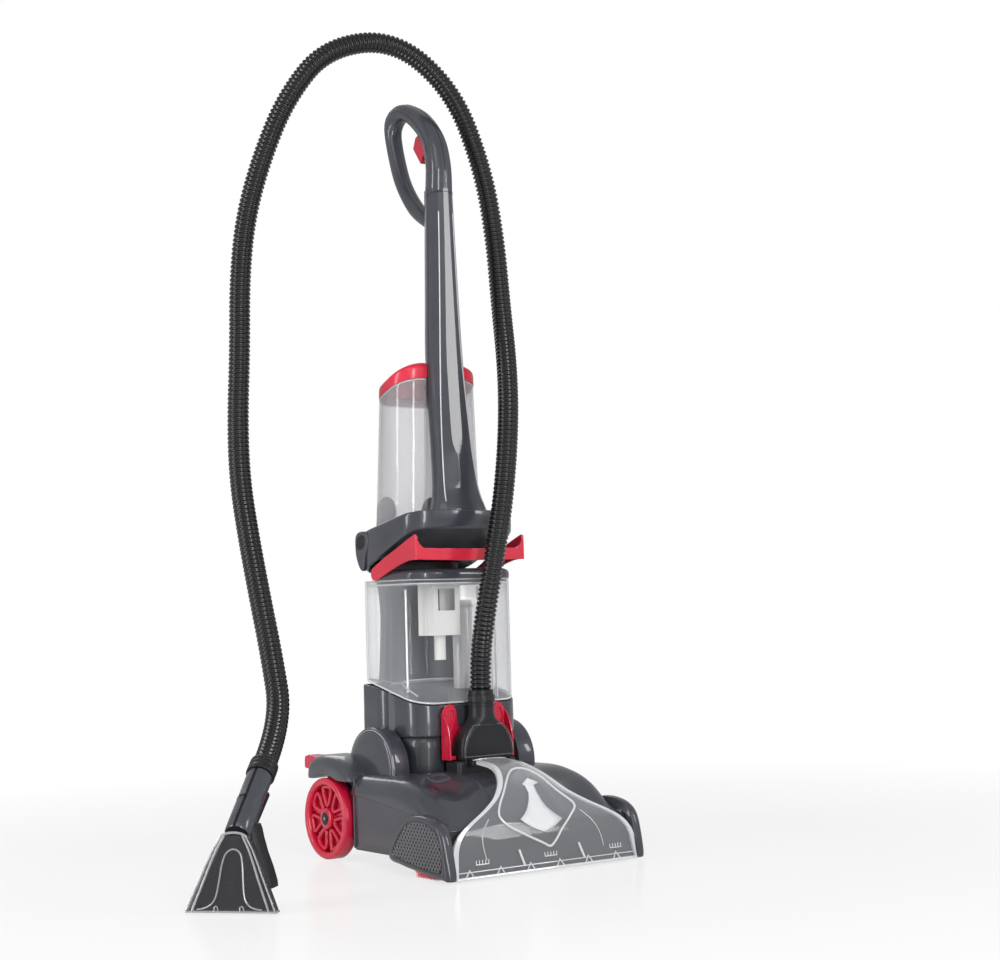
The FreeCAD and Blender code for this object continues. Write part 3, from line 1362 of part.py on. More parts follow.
def bail():
    """Red latch handle: two rising arms on the lid's pins and a front bar."""
    inner = v.tank_half + 1 + v.run_gap
    outer = inner + v.bail_thickness
    bar_rear = v.tank_front_y - 1 - v.bail_front_gap
    bar_front = bar_rear - v.bail_thickness
    top_front = band_edge(bar_rear, v.band_front_z, v.band_rear_z) - v.bail_gap
    top_rear = band_edge(v.bail_y + 8, v.band_front_z, v.band_rear_z) - v.bail_gap
    bar_low = top_front - 9 - v.bail_height
    profile = [
        (v.bail_y + 8, v.bail_z - 4), (v.bail_y + 8, top_rear), (bar_front, top_front),
        (bar_front, bar_low), (bar_rear + 8, bar_low), (v.bail_y - 8, v.bail_z - 8),
        (v.bail_y, v.bail_z - 9),
    ]
    shape = side_prism(profile, inner, outer).fuse(side_prism(profile, -outer, -inner))
    bar = Part.makeBox(
        2 * outer, v.bail_thickness, v.bail_height,
        Vector(-outer, bar_front, bar_low),
    )
    shape = shape.fuse(bar)
    holes = rod(Vector(-outer - 1, v.bail_y, v.bail_z), Vector(outer + 1, v.bail_y, v.bail_z),
                v.bail_pin_radius + v.shaft_gap)
    return add("bail_handle", shape.cut(holes).removeSplitter())


recovery_tank()
tank_lid()
lid_gasket()
float_cage()
float_piece()
bail()


# ---------------------------------------------------------------- clean tank
clean_z = v.collar_floor_z + v.dock_height + v.seat_gap


def clean_solid(inset, z_low, z_high):
    """Tapered body of the clean tank between two heights."""
    rings = []
    for z in (z_low, z_high):
        lean = v.clean_taper * (z - clean_z) / v.clean_height
        rings.append(rounded(
            v.clean_half - lean - inset, v.clean_front_y + inset,
            v.clean_rear_y - lean - inset, v.clean_corner - inset, z,
        ))
    return loft(rings)


def groove(grow):
    """Slot for the column in the tank's front, wide enough for the tank to lift along it."""
    rings = []
    top = clean_z + v.clean_height + 60
    for z in (clean_z - 5, v.column_mid_z - v.lift_travel, top):
        half, _ = column_at(z)
        _, y_above = column_at(z + v.lift_travel)
        rings.append(rounded(
            half + v.swing_gap + grow, v.collar_front_y - 30,
            y_above + v.column_depth / 2 + v.swing_gap + grow, 12, z,
        ))
    return loft(rings)


def lid_plane(lift, thickness):
    """Sloping slab that trims the tank and its lid: high at the front, low at the rear."""
    far = 30
    y_low = v.clean_front_y - far
    y_high = v.clean_rear_y + far
    fall = v.lid_fall / (v.clean_rear_y - v.clean_front_y)
    z_front = v.lid_front_z + lift + fall * far
    z_rear = v.lid_front_z + lift - v.lid_fall - fall * far
    return side_prism(
        [(y_low, z_front), (y_high, z_rear), (y_high, z_rear + thickness),
         (y_low, z_front + thickness)],
        -v.clean_half - 2, v.clean_half + 2,
    )


def clean_tank():
    """Clear tank with the column's groove and the valve neck in its floor."""
    top = clean_z + v.clean_height + 40
    outer = clean_solid(0, clean_z, top).cut(groove(0))
    inner = clean_solid(v.clean_wall, clean_z + v.clean_wall, top + 5).cut(groove(v.clean_wall))
    shape = outer.cut(inner).cut(lid_plane(0, 300))
    hole = Part.makeCylinder(v.valve_radius + v.shaft_gap, 4 * v.clean_wall,
                             Vector(0, v.valve_y, clean_z - v.clean_wall))
    boss = Part.makeCylinder(v.valve_radius + 4, 10, Vector(0, v.valve_y, clean_z + 0.5))
    boss_hole = Part.makeCylinder(v.valve_radius + v.shaft_gap, 30,
                                  Vector(0, v.valve_y, clean_z - 5))
    return add("clean_tank", shape.fuse(boss).cut(hole).cut(boss_hole).removeSplitter())


def clean_lid():
    """Red sloping lid with the finger pocket that hangs into the tank."""
    top = clean_z + v.clean_height + 60
    slab = clean_solid(-0.8, clean_z + v.clean_height - 60, top).cut(groove(-0.8))
    cap = slab.common(lid_plane(v.seat_gap, v.lid_thickness))
    x = v.pocket_half
    y_mid = (v.clean_front_y + v.groove_depth + v.clean_rear_y) / 2 + 2
    low = v.lid_front_z - v.lid_fall / 2 - v.pocket_depth
    span = v.pocket_length / 2
    pocket_out = Part.makeBox(2 * x, 2 * span, v.pocket_depth + 40, Vector(-x, y_mid - span, low))
    pocket_out = pocket_out.cut(lid_plane(v.seat_gap + 1, 300))
    hollow = Part.makeBox(
        2 * x - 4, 2 * span - 4, v.pocket_depth + 90, Vector(2 - x, y_mid - span + 2, low + 2)
    )
    return add("clean_lid", cap.fuse(pocket_out).cut(hollow).removeSplitter())


def tank_valve():
    """Spring valve in the clean tank's floor: stem, head inside and tip in the dock."""
    head = Part.makeCylinder(v.valve_radius + 3, 3, Vector(0, v.valve_y, clean_z + 10.8))
    stem = Part.makeCylinder(v.valve_radius, 14, Vector(0, v.valve_y, clean_z - 3))
    return add("tank_valve", head.fuse(stem).removeSplitter())


clean_tank()
clean_lid()
tank_valve()


# ---------------------------------------------------------------- hand tool and its hose
# The tool is drawn with its mouth centred on the origin, X across the mouth and Y backwards,
# and is then stood on the floor beside the machine.
TOOL_PLACE = FreeCAD.Placement(
    Vector(v.tool_x, v.tool_y, 0), FreeCAD.Rotation(Vector(0, 0, 1), v.tool_yaw)
)
grip_low = Vector(0, v.tool_bend_y, v.tool_bend_z)
grip_high = Vector(0, v.tool_end_y, v.tool_end_z)
grip_axis = (grip_high - grip_low).normalize()
grip_under = Vector(0, grip_axis.z, -grip_axis.y)


def add_tool(label, shape):
    shape = shape.removeSplitter()
    shape.Placement = TOOL_PLACE
    return add(label, shape)


def along_grip(reach, drop=0):
    """Point on the tool's grip axis, a reach from its lower end and a drop below it."""
    return grip_low + grip_axis * reach + grip_under * drop


def tool_hood():
    """Clear flared hood with the suction mouth below and a throat into the grip."""
    half = v.tool_mouth_half
    deep = v.tool_mouth_depth

    def flare(inset, spread):
        return loft([
            rounded(half - inset, inset - 3, deep - 3 - inset, 4 - inset / 2, -spread),
            rounded(half - 4 - inset, inset - 2, deep - 2 - inset, 4 - inset / 2, 10),
            rounded(half / 2 + 1 - inset, 6 + inset, deep + 6 - inset, 4 - inset / 2, 62),
            rounded(v.tool_grip_radius - inset, 11 + inset, deep + 14 - inset, 4 - inset / 2,
                    v.tool_hood_height + spread),
        ])

    shell = flare(0, 0).cut(flare(v.tool_wall, 1))
    clear = rod(along_grip(-20), along_grip(60), v.tool_grip_radius + v.seat_gap)
    return shell.cut(clear)


def tool_head():
    """Black spray body behind the hood, with the lever's slot and pin hole."""
    deep = v.tool_mouth_depth
    lean = 0.22
    front_line = [(deep - 3 + v.seat_gap + lean * z, z) for z in (24, 62, v.tool_hood_height + 8)]
    body = loft([
        rounded(half, y, y_rear, 5, z)
        for (y, z), half, y_rear in zip(front_line, (42, 27, 18), (46, 54, 62))
    ])
    clear = rod(along_grip(-20), along_grip(60), v.tool_grip_radius + v.seat_gap)
    slot_low = along_grip(v.tool_lever_start - 8, v.tool_lever_drop - 5)
    slot = Part.makeBox(2 * v.tool_lever_half + 1, 60, 60)
    slot.translate(Vector(-v.tool_lever_half - 0.5, 0, 0))
    slot.rotate(Vector(), Vector(1, 0, 0), math.degrees(math.atan2(grip_axis.z, grip_axis.y)))
    slot.translate(slot_low - Vector(0, 0, 12))
    hinge = along_grip(v.tool_lever_start, v.tool_lever_drop)
    hole = rod(hinge - Vector(40, 0, 0), hinge + Vector(40, 0, 0), v.tool_pin_radius + v.shaft_gap)
    hood_room = side_prism(
        [(-20, 0), (deep - 3 + v.seat_gap, 0), (deep - 2 + v.seat_gap, 10),
         (deep + 6 + v.seat_gap, 62), (deep + 14 + v.seat_gap, v.tool_hood_height + 1),
         (-20, v.tool_hood_height + 1)],
        -60, 60,
    )
    return body.cut(clear).cut(slot).cut(hole).cut(hood_room)


def tool_grip_half(sign):
    """Half of the hollow grip, split along the tool's middle plane."""
    length = (grip_high - grip_low).Length
    outer = rod(along_grip(0), along_grip(length), v.tool_grip_radius)
    hollow = rod(along_grip(-1), along_grip(length + 1), v.tool_grip_radius - 2.5)
    side = Part.makeBox(60, 400, 400, Vector(0 if sign > 0 else -60, -100, -100))
    return outer.cut(hollow).common(side)


def tool_lever():
    """Trigger under the grip: a bar on two pins in the spray body."""
    half = v.tool_lever_half
    start = v.tool_lever_start
    drop = v.tool_lever_drop
    corners = [(start - 5, drop - 4), (start + 8, drop - 3), (start + 66, drop + 3),
               (start + 66, drop + 8), (start + 4, drop + 5), (start - 5, drop + 4)]
    outline_points = [along_grip(*corner) for corner in corners]
    bar = side_prism([(p.y, p.z) for p in outline_points], -half, half)
    hinge = along_grip(start, drop)
    pins = rod(hinge - Vector(half + 5, 0, 0), hinge + Vector(half + 5, 0, 0), v.tool_pin_radius)
    return bar.fuse(pins)


def tool_cuff():
    """Collar that joins the hose to the grip."""
    start = grip_high + grip_axis * v.seat_gap
    end = start + grip_axis * v.cuff_length
    ring = rod(start, end, v.cuff_radius)
    return ring.cut(rod(start - grip_axis, end + grip_axis, v.hose_radius - 3))


add_tool("tool_hood", tool_hood())
add_tool("tool_head", tool_head())
add_tool("tool_grip_left", tool_grip_half(-1))
add_tool("tool_grip_right", tool_grip_half(1))
add_tool("tool_lever", tool_lever())
add_tool("tool_cuff", tool_cuff())

hose_end = TOOL_PLACE.multVec(grip_high + grip_axis * (v.cuff_length + 2 * v.seat_gap))
hose_away = TOOL_PLACE.Rotation.multVec(grip_axis)
hose_start = Vector(
    0, v.hose_y, v.port_z + v.seat_gap + v.adapter_height + v.neck_height - 6 + v.seat_gap
)
hose_points = [hose_start] + [Vector(*point) for point in (
    (0, -45, 266), (-2, -61, 322), (6, -77, 405), (30, -68, 484), (55, -50, 580),
    (80, -18, 668), (100, 21, 767), (102, 34, 870), (85, 37, 970), (42, 44, 1078), (-45, 60, 1144),
    (-144, 85, 1122), (-197, 106, 1048), (-227, 123, 965), (-249, 133, 880), (-260, 132, 792),
    (-268, 120, 693), (-280, 107, 596), (-291, 83, 513), (-299, 45, 432), (-305, 6, 353),
    (-309, -28, 282),
)] + [hose_end + hose_away * 78, hose_end]
add("hose", tube(hose_points, v.hose_radius))


# ---------------------------------------------------------------- check and write
doc.recompute()
for item in doc.Objects:
    if "Invalid" in item.State or "Error" in item.State:
        raise RuntimeError("failed: " + item.Label)
os.makedirs("parts", exist_ok=True)
for item in nodes:
    if item.Shape.isNull() or not item.Shape.isValid():
        raise RuntimeError("bad shape: " + item.Label)
    item.Shape.exportStep("parts/%s.step" % item.Label)
print(len(nodes), "pieces")
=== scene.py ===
import bisect
import math
import random

import bmesh
import bpy
from mathutils import Matrix, Vector


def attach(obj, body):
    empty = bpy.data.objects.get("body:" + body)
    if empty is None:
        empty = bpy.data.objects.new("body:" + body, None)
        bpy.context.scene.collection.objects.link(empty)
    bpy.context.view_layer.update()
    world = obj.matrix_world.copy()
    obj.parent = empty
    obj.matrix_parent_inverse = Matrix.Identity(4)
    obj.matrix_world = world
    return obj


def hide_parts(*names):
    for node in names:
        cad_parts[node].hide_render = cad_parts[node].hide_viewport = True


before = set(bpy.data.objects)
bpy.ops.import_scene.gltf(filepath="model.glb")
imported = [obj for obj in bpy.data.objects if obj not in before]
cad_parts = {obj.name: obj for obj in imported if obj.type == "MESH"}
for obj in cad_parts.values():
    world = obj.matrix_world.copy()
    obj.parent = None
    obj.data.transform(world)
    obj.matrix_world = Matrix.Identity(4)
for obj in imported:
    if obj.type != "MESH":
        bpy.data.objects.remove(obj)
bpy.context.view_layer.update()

# ---------------------------------------------------------------- camera
# A long lens stands low in front of the machine and to its left, about level with the hose port,
# and looks slightly upwards at the loop handle.
LENS_MM, SENSOR_MM = 65.1, 36
CAMERA_PLACE = (-1.4194, -2.0480, 0.3343)
CAMERA_AXES = (
    (0.80874, -0.58752, -0.02768), (-0.01940, -0.07367, 0.99709), (-0.58785, -0.80585, -0.07098),
)
scene = bpy.context.scene
lens_data = bpy.data.cameras.new("camera")
lens_data.lens, lens_data.sensor_width = LENS_MM, SENSOR_MM
camera = bpy.data.objects.new("camera", lens_data)
camera.matrix_world = Matrix.Translation(CAMERA_PLACE) @ Matrix(CAMERA_AXES).transposed().to_4x4()
scene.collection.objects.link(camera)
scene.camera = camera
scene.view_settings.view_transform = "Standard"


# ---------------------------------------------------------------- hose
# The suction hose is black corrugated rubbery plastic, 29 mm across. It is pushed into the neck
# of the port adapter, arches over the handle and ends in the cuff of the hand tool.
HOSE_ROUTE = [
    (0, -0.045, 0.2266), (0, -0.045, 0.266), (-0.002, -0.061, 0.322), (0.006, -0.077, 0.405),
    (0.030, -0.068, 0.484), (0.055, -0.050, 0.580), (0.080, -0.018, 0.668),
    (0.100, 0.021, 0.767), (0.102, 0.034, 0.870), (0.085, 0.037, 0.970),
    (0.042, 0.044, 1.078), (-0.045, 0.060, 1.144), (-0.144, 0.085, 1.122),
    (-0.197, 0.106, 1.048), (-0.227, 0.123, 0.965), (-0.249, 0.133, 0.880),
    (-0.260, 0.132, 0.792), (-0.268, 0.120, 0.693), (-0.280, 0.107, 0.596),
    (-0.291, 0.083, 0.513), (-0.299, 0.045, 0.432), (-0.305, 0.006, 0.353),
    (-0.309, -0.028, 0.282), (-0.3197, -0.0698, 0.2044), (-0.3664, -0.1104, 0.1568),
]
HOSE_CREST, HOSE_VALLEY = 0.0145, 0.0123
HOSE_SHOULDER = HOSE_CREST - 0.0004
HOSE_PITCH = 0.0062
HOSE_SIDES = 24


def new_material(name, **values):
    """New material, its node tree and its main shader, with some of the shader's inputs set."""
    material = bpy.data.materials.new(name)
    material.use_nodes = True
    shader = material.node_tree.nodes["Principled BSDF"]
    for label, value in values.items():
        shader.inputs[label.replace("_", " ")].default_value = value
    return material, material.node_tree, shader


def feed(tree, node, **sources):
    """Link other nodes' outputs into a node's named inputs."""
    for label, source in sources.items():
        tree.links.new(source, node.inputs[label.replace("_", " ")])


def add_node(tree, kind, sources=None, operation=None, **values):
    """New shader node with links into some of its inputs and fixed values in others."""
    node = tree.nodes.new("ShaderNode" + kind)
    if operation:
        node.operation = operation
    for label, value in values.items():
        node.inputs[label.replace("_", " ")].default_value = value
    feed(tree, node, **(sources or {}))
    return node


def add_range(tree, source, low, high):
    """Value that runs from low to high as a source runs from nought to one."""
    return add_node(tree, "MapRange", {"Value": source}, To_Min=low, To_Max=high).outputs["Result"]


def add_noise(tree, scale, detail=2.0):
    """Noise laid out in the piece's own coordinates."""
    place = add_node(tree, "TexCoord").outputs["Object"]
    return add_node(tree, "TexNoise", {"Vector": place}, Scale=scale, Detail=detail).outputs["Fac"]


def add_tone(tree, source, low, high, start=0.0, end=1.0):
    """Colour that runs from one tone to another between two values of a source."""
    tone = add_node(tree, "ValToRGB", {"Fac": source})
    for stop, colour, position in zip(tone.color_ramp.elements, (low, high), (start, end)):
        stop.color, stop.position = [*colour, 1], position
    return tone.outputs["Color"]


def moulded(name, colour, roughness=0.38, grain=0.12, grain_scale=1400, mottle=0.10, coat=0.0,
            shine=0.35):
    """Moulded plastic: fine surface grain, faint cloudiness of colour and uneven gloss."""
    material, tree, shader = new_material(name, Coat_Weight=coat, Coat_Roughness=0.07,
                                          Specular_IOR_Level=shine)
    cloud = add_noise(tree, 22, 4)
    tint = add_tone(tree, cloud, [c * (1 - mottle) for c in colour],
                    [min(1, c * (1 + mottle)) for c in colour], 0.3, 0.7)
    gloss = add_range(tree, cloud, roughness - 0.05, roughness + 0.05)
    relief = add_node(tree, "Bump", {"Height": add_noise(tree, grain_scale)}, Strength=grain,
                      Distance=0.0003)
    feed(tree, shader, Base_Color=tint, Roughness=gloss, Normal=relief.outputs["Normal"])
    return material


def put(name, verts, faces, material, sharp=34):
    """New object from a mesh in metres, shaded smooth between its sharp edges."""
    mesh = bpy.data.meshes.new(name)
    mesh.from_pydata([tuple(v) for v in verts], [], faces)
    work = bmesh.new()
    work.from_mesh(mesh)
    bmesh.ops.recalc_face_normals(work, faces=work.faces)
    work.to_mesh(mesh)
    work.free()
    mesh.materials.append(material)
    mesh.shade_smooth()
    mesh.set_sharp_from_angle(angle=math.radians(sharp))
    item = bpy.data.objects.new(name, mesh)
    scene.collection.objects.link(item)
    return item


def around(count):
    """Cosine and sine of even steps round a circle."""
    angles = [2 * math.pi * k / count for k in range(count)]
    return [(math.cos(angle), math.sin(angle)) for angle in angles]


def sweep(points, radii, sides, closed=False):
    """Round tube along a dense line of points with one radius for each point."""
    count = len(points)
    ahead = []
    for i in range(count):
        after = points[(i + 1) % count] if closed else points[min(i + 1, count - 1)]
        before = points[i - 1] if closed or i else points[0]
        ahead.append((after - before).normalized())
    side = ahead[0].orthogonal().normalized()
    verts, faces = [], []
    for i in range(count):
        side = (side - ahead[i] * side.dot(ahead[i])).normalized()
        other = ahead[i].cross(side)
        verts += [points[i] + (side * c + other * s) * radii[i] for c, s in around(sides)]
    for i in range(count if closed else count - 1):
        j = (i + 1) % count
        for k in range(sides):
            m = (k + 1) % sides
            faces.append((i * sides + k, i * sides + m, j * sides + m, j * sides + k))
    if not closed:
        faces.append(tuple(range(sides)))
        faces.append(tuple(range((count - 1) * sides, count * sides)))
    return verts, faces


hose_curve = bpy.data.curves.new("hose_line", "CURVE")
hose_curve.dimensions = "3D"
hose_curve.resolution_u = 40
hose_spline = hose_curve.splines.new("NURBS")
hose_spline.points.add(len(HOSE_ROUTE) - 1)
for hose_point, place in zip(hose_spline.points, HOSE_ROUTE):
    hose_point.co = (*place, 1)
hose_spline.order_u = 3
hose_spline.use_endpoint_u = True
hose_guide = bpy.data.objects.new("hose_line", hose_curve)
scene.collection.objects.link(hose_guide)
bpy.context.view_layer.update()
hose_mesh = bpy.data.meshes.new_from_object(
    hose_guide.evaluated_get(bpy.context.evaluated_depsgraph_get())
)
hose_line = [v.co.copy() for v in hose_mesh.vertices]
bpy.data.objects.remove(hose_guide)
hose_reach = [0.0]
for before, after in zip(hose_line, hose_line[1:]):
    hose_reach.append(hose_reach[-1] + (after - before).length)
hose_length = hose_reach[-1]


def hose_at(reach):
    """Point of the hose's centre line at a distance along it."""
    low = min(max(bisect.bisect_right(hose_reach, reach) - 1, 0), len(hose_reach) - 2)
    high = low + 1
    share = (reach - hose_reach[low]) / max(hose_reach[high] - hose_reach[low], 1e-9)
    return hose_line[low].lerp(hose_line[high], min(max(share, 0), 1))


hose_rings, hose_radii = [], []
hose_turns = int(hose_length / HOSE_PITCH)
for turn in range(hose_turns):
    for share, radius in ((0.0, HOSE_VALLEY), (0.22, HOSE_VALLEY), (0.40, HOSE_SHOULDER),
                          (0.58, HOSE_CREST), (0.80, HOSE_SHOULDER)):
        hose_rings.append(hose_at((turn + share) * hose_length / hose_turns))
        hose_radii.append(radius)
hose_rings.append(hose_line[-1])
hose_radii.append(HOSE_VALLEY)
hose_rubber = moulded(
    "hose_rubber", (0.004, 0.004, 0.005), roughness=0.22, grain=0.05, grain_scale=700, mottle=0.2,
    shine=0.42,
)
hose = put("suction_hose", *sweep(hose_rings, hose_radii, HOSE_SIDES), hose_rubber, sharp=60)
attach(hose, "base")
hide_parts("hose")


# ---------------------------------------------------------------- floor and lights
# A white sweep under the machine, one broad lamp high on the left, a softer one behind, and
# three tall strips whose reflections run down the glossy plastic.
MIRRORED_SHARE = 0.36
FLOOR_HALF, FLOOR_Z = 9, -0.0016


def maths(tree, operation, *terms):
    """Result of a calculation on numbers or other nodes' outputs."""
    node = add_node(tree, "Math", operation=operation)
    for socket, term in zip(node.inputs, terms):
        if isinstance(term, float):
            socket.default_value = term
        else:
            tree.links.new(term, socket)
    return node.outputs[0]


def seen_rays(tree):
    """One for rays from the camera and through glass, part of it in reflections, else zero."""
    path = add_node(tree, "LightPath").outputs
    mirrored = maths(tree, "MULTIPLY", path["Is Glossy Ray"], MIRRORED_SHARE)
    seen = maths(tree, "MAXIMUM", path["Is Camera Ray"], mirrored)
    return maths(tree, "MAXIMUM", seen, path["Is Transmission Ray"])


def white_for_camera(tree, lit, strength):
    """Shader that is plain white to the camera and in reflections, and the lit one elsewhere."""
    place = add_node(tree, "TexCoord").outputs["Object"]
    away = add_node(tree, "VectorMath", {"Vector": place}, "LENGTH").outputs["Value"]
    fade = add_node(tree, "MapRange", {"Value": away}, From_Min=0.55, From_Max=1.5,
                    To_Min=strength)
    share = maths(tree, "MULTIPLY", seen_rays(tree), fade.outputs["Result"])
    mix = add_node(tree, "MixShader", {"Fac": share})
    tree.links.new(lit, mix.inputs[1])
    tree.links.new(add_node(tree, "Emission").outputs["Emission"], mix.inputs[2])
    return mix.outputs["Shader"]


floor_paint, floor_tree, floor_shader = new_material(
    "white_sweep", Base_Color=(0.9, 0.9, 0.9, 1), Roughness=0.16)
feed(floor_tree, floor_tree.nodes["Material Output"],
     Surface=white_for_camera(floor_tree, floor_shader.outputs["BSDF"], 0.72))
floor_corners = [(x * FLOOR_HALF, y * FLOOR_HALF, FLOOR_Z)
                 for x, y in ((-1, -1), (1, -1), (1, 1), (-1, 1))]
floor = put("floor", floor_corners, [(0, 1, 2, 3)], floor_paint)

studio = bpy.data.worlds.new("studio")
scene.world = studio
studio.use_nodes = True
sky = studio.node_tree.nodes["Background"]
sky.inputs["Color"].default_value = (1, 1, 1, 1)
feed(studio.node_tree, sky,
     Strength=add_range(studio.node_tree, seen_rays(studio.node_tree), 0.34, 1.0))

for lamp_name, lamp_place, lamp_aim, lamp_size, lamp_power in (
    ("lamp_high_left", (-1.5, -1.5, 2.3), (0, 0, 0.4), (1.2, 1.2), 9),
    ("lamp_behind", (0.6, 2.3, 1.9), (0, 0, 0.5), (1.4, 1.0), 14),
    ("strip_left", (-1.98, 0.32, 0.90), (0, 0, 0.6), (0.42, 1.7), 23),
    ("strip_front", (-0.66, -2.20, 0.9), (0, 0, 0.55), (0.38, 1.7), 32),
    ("strip_right", (1.34, -1.88, 1.24), (0, 0, 0.70), (0.34, 0.80), 12),
):
    lamp_data = bpy.data.lights.new(lamp_name, "AREA")
    lamp_data.shape = "RECTANGLE"
    lamp_data.size, lamp_data.size_y = lamp_size
    lamp_data.energy = lamp_power
    lamp = bpy.data.objects.new(lamp_name, lamp_data)
    lamp.location = lamp_place
    toward = Vector(lamp_aim) - Vector(lamp_place)
    lamp.rotation_euler = toward.to_track_quat("-Z", "Y").to_euler()
    scene.collection.objects.link(lamp)


# ---------------------------------------------------------------- base hood and wheel humps
# The hood is one satin grey moulding: it slopes down over the brushes, wraps round the sides
# with a crease, and ends at the rear in two arms. A hump on each side covers the wheel, and a
# small raised rim stands to the left of the cover's neck.
CROWN = [(-161, 58.8), (-157, 64), (-147, 71), (-135, 80.5), (-120, 92.5), (-105, 102.5),
         (-85, 110.5), (-65, 115.5), (-50, 118), (-30, 119.5), (0, 119.5), (57, 118.5)]
SHOULDER = 24
CRADLE_HALF = 90.5
CRADLE_Y = -24
FRONT_EDGE_Z, SIDE_EDGE_Z, BAY_Y = 58.4, 20, -92
SIDE_X, EDGE_X = 145, 142.6
HOOD_TOP_X = (0, 9, 18, 27, 35, 41, 46, 51, 57, 64, 72, 81, 90.5, 98, 105, 112, 117, 121)
PAD_MIDDLE, PAD_HALF = (-79, -54), (17, 13)
WHEEL_Y, WHEEL_Z, WHEEL_ROOM = 117, 55, 58.5


def smooth_value(table, x):
    """Value of a smooth curve through a table of points."""
    if x <= table[0][0]:
        return table[0][1]
    if x >= table[-1][0]:
        return table[-1][1]
    i = max(k for k in range(len(table) - 1) if table[k][0] <= x)
    x1, y1 = table[i]
    x2, y2 = table[i + 1]
    x0, y0 = table[i - 1] if i else (2 * x1 - x2, 2 * y1 - y2)
    x3, y3 = table[i + 2] if i + 2 < len(table) else (2 * x2 - x1, 2 * y2 - y1)
    before = (y2 - y0) / (x2 - x0)
    after = (y3 - y1) / (x3 - x1)
    t = (x - x1) / (x2 - x1)
    run = x2 - x1
    return ((2 * t ** 3 - 3 * t ** 2 + 1) * y1 + (t ** 3 - 2 * t ** 2 + t) * run * before
            + (3 * t ** 2 - 2 * t ** 3) * y2 + (t ** 3 - t ** 2) * run * after)


def block(x0, x1, y0, y1, z0, z1):
    """Box between two limits on each axis."""
    verts = [(x, y, z) for z in (z0, z1) for y in (y0, y1) for x in (x0, x1)]
    faces = [(0, 2, 3, 1), (4, 5, 7, 6), (0, 1, 5, 4), (2, 6, 7, 3), (0, 4, 6, 2), (1, 3, 7, 5)]
    return verts, faces


def stack(rings, caps=(True, True), closed=True):
    """Skin over rings of equal point counts, one above the other."""
    count = len(rings[0])
    verts = [point for ring in rings for point in ring]
    faces = []
    for i in range(len(rings) - 1):
        for k in range(count if closed else count - 1):
            m = (k + 1) % count
            faces.append((i * count + k, i * count + m, (i + 1) * count + m, (i + 1) * count + k))
    if caps[0]:
        faces.append(tuple(range(count)))
    if caps[1]:
        faces.append(tuple(range((len(rings) - 1) * count, len(rings) * count)))
    return verts, faces


MM = 0.001
BEVEL_FROM = math.radians(28)


def piece(name, shapes, material, body, nodes=(), bevel=0.0, segments=2, thickness=0.0,
          sharp=34):
    """One object from shapes in millimetres, that rides a body and may stand for CAD nodes."""
    verts, faces = [], []
    for shape_verts, shape_faces in shapes:
        first = len(verts)
        verts += [Vector(v) * MM for v in shape_verts]
        faces += [tuple(first + k for k in face) for face in shape_faces]
    item = put(name, verts, faces, material, sharp=180 if bevel else sharp)
    if thickness:
        work = bmesh.new()
        work.from_mesh(item.data)
        middle = sum((v.co for v in work.verts), Vector()) / len(work.verts)
        outward = sum(
            f.normal.dot(f.calc_center_median() - middle) * f.calc_area() for f in work.faces
        )
        if outward < 0:
            bmesh.ops.reverse_faces(work, faces=work.faces)
        work.to_mesh(item.data)
        work.free()
        shell = item.modifiers.new("wall", "SOLIDIFY")
        shell.thickness = thickness * MM
        shell.offset = -1
    if bevel:
        edge = item.modifiers.new("edge", "BEVEL")
        edge.width = bevel * MM
        edge.segments = segments
        edge.limit_method = "ANGLE"
        edge.angle_limit = BEVEL_FROM
        edge.harden_normals = True
    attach(item, body)
    if nodes:
        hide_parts(*nodes)
    return item


def hood_section(y):
    """Points of the hood's section from its middle out to the lower edge of one side."""
    crown = smooth_value(CROWN, y)
    low = FRONT_EDGE_Z if y < BAY_Y else SIDE_EDGE_Z
    shoulder = min(SHOULDER, crown - low - 0.5)
    reach = math.exp(-((y + 105) / 46) ** 4)
    points = []
    for x in HOOD_TOP_X:
        ridge = 3.2 * math.exp(-((x - 47) / 6) ** 2) * reach
        scoop = 8 * math.exp(-((x - 88) / 21) ** 2 - ((y + 88) / 30) ** 2)
        points.append((x, crown - 1.5 * (x / 121) ** 2 + ridge - scoop))
    for angle in (15, 30, 45, 60, 75, 90):
        a = math.radians(angle)
        points.append((SIDE_X - SHOULDER + SHOULDER * math.sin(a),
                       crown - 1.5 - shoulder * (1 - math.cos(a))))
    side = points[-1][1]
    crease = max(low + 0.4, min(76 + (y - BAY_Y) * 0.11, side - 3))
    for x, z in ((SIDE_X, crease + 1.2), (144.4, crease), (143.2, crease - 0.8),
                 (EDGE_X, (crease + low) / 2), (EDGE_X, low)):
        points.append((x, max(low, min(z, side))))
    return points


grey_plastic = moulded("grey_plastic", (0.040, 0.042, 0.053), roughness=0.36, coat=0.55,
                       shine=0.30)
HOOD_ROWS = [-161, -160, -158.5, -156, -152, -147, -141, -135, -128, -120, -112, -105, -98, -92.2,
             -91.8, -85, -78, -71, -64, -57, -50, -43, -36, -30, -24, -14, -4, 8, 20, 32, 45, 57]
hood_verts, hood_faces = [], []
hood_count = 2 * len(hood_section(0)) - 1
for row_y in HOOD_ROWS:
    half = hood_section(row_y)
    hood_verts += [(-x, row_y, z) for x, z in reversed(half[1:])]
    hood_verts += [(x, row_y, z) for x, z in half]
for i in range(len(HOOD_ROWS) - 1):
    for k in range(hood_count - 1):
        a = i * hood_count + k
        x_mid = (hood_verts[a][0] + hood_verts[a + 1][0]) / 2
        if abs(x_mid) < CRADLE_HALF and HOOD_ROWS[i] >= CRADLE_Y:
            continue
        hood_faces.append((a, a + 1, a + 1 + hood_count, a + hood_count))
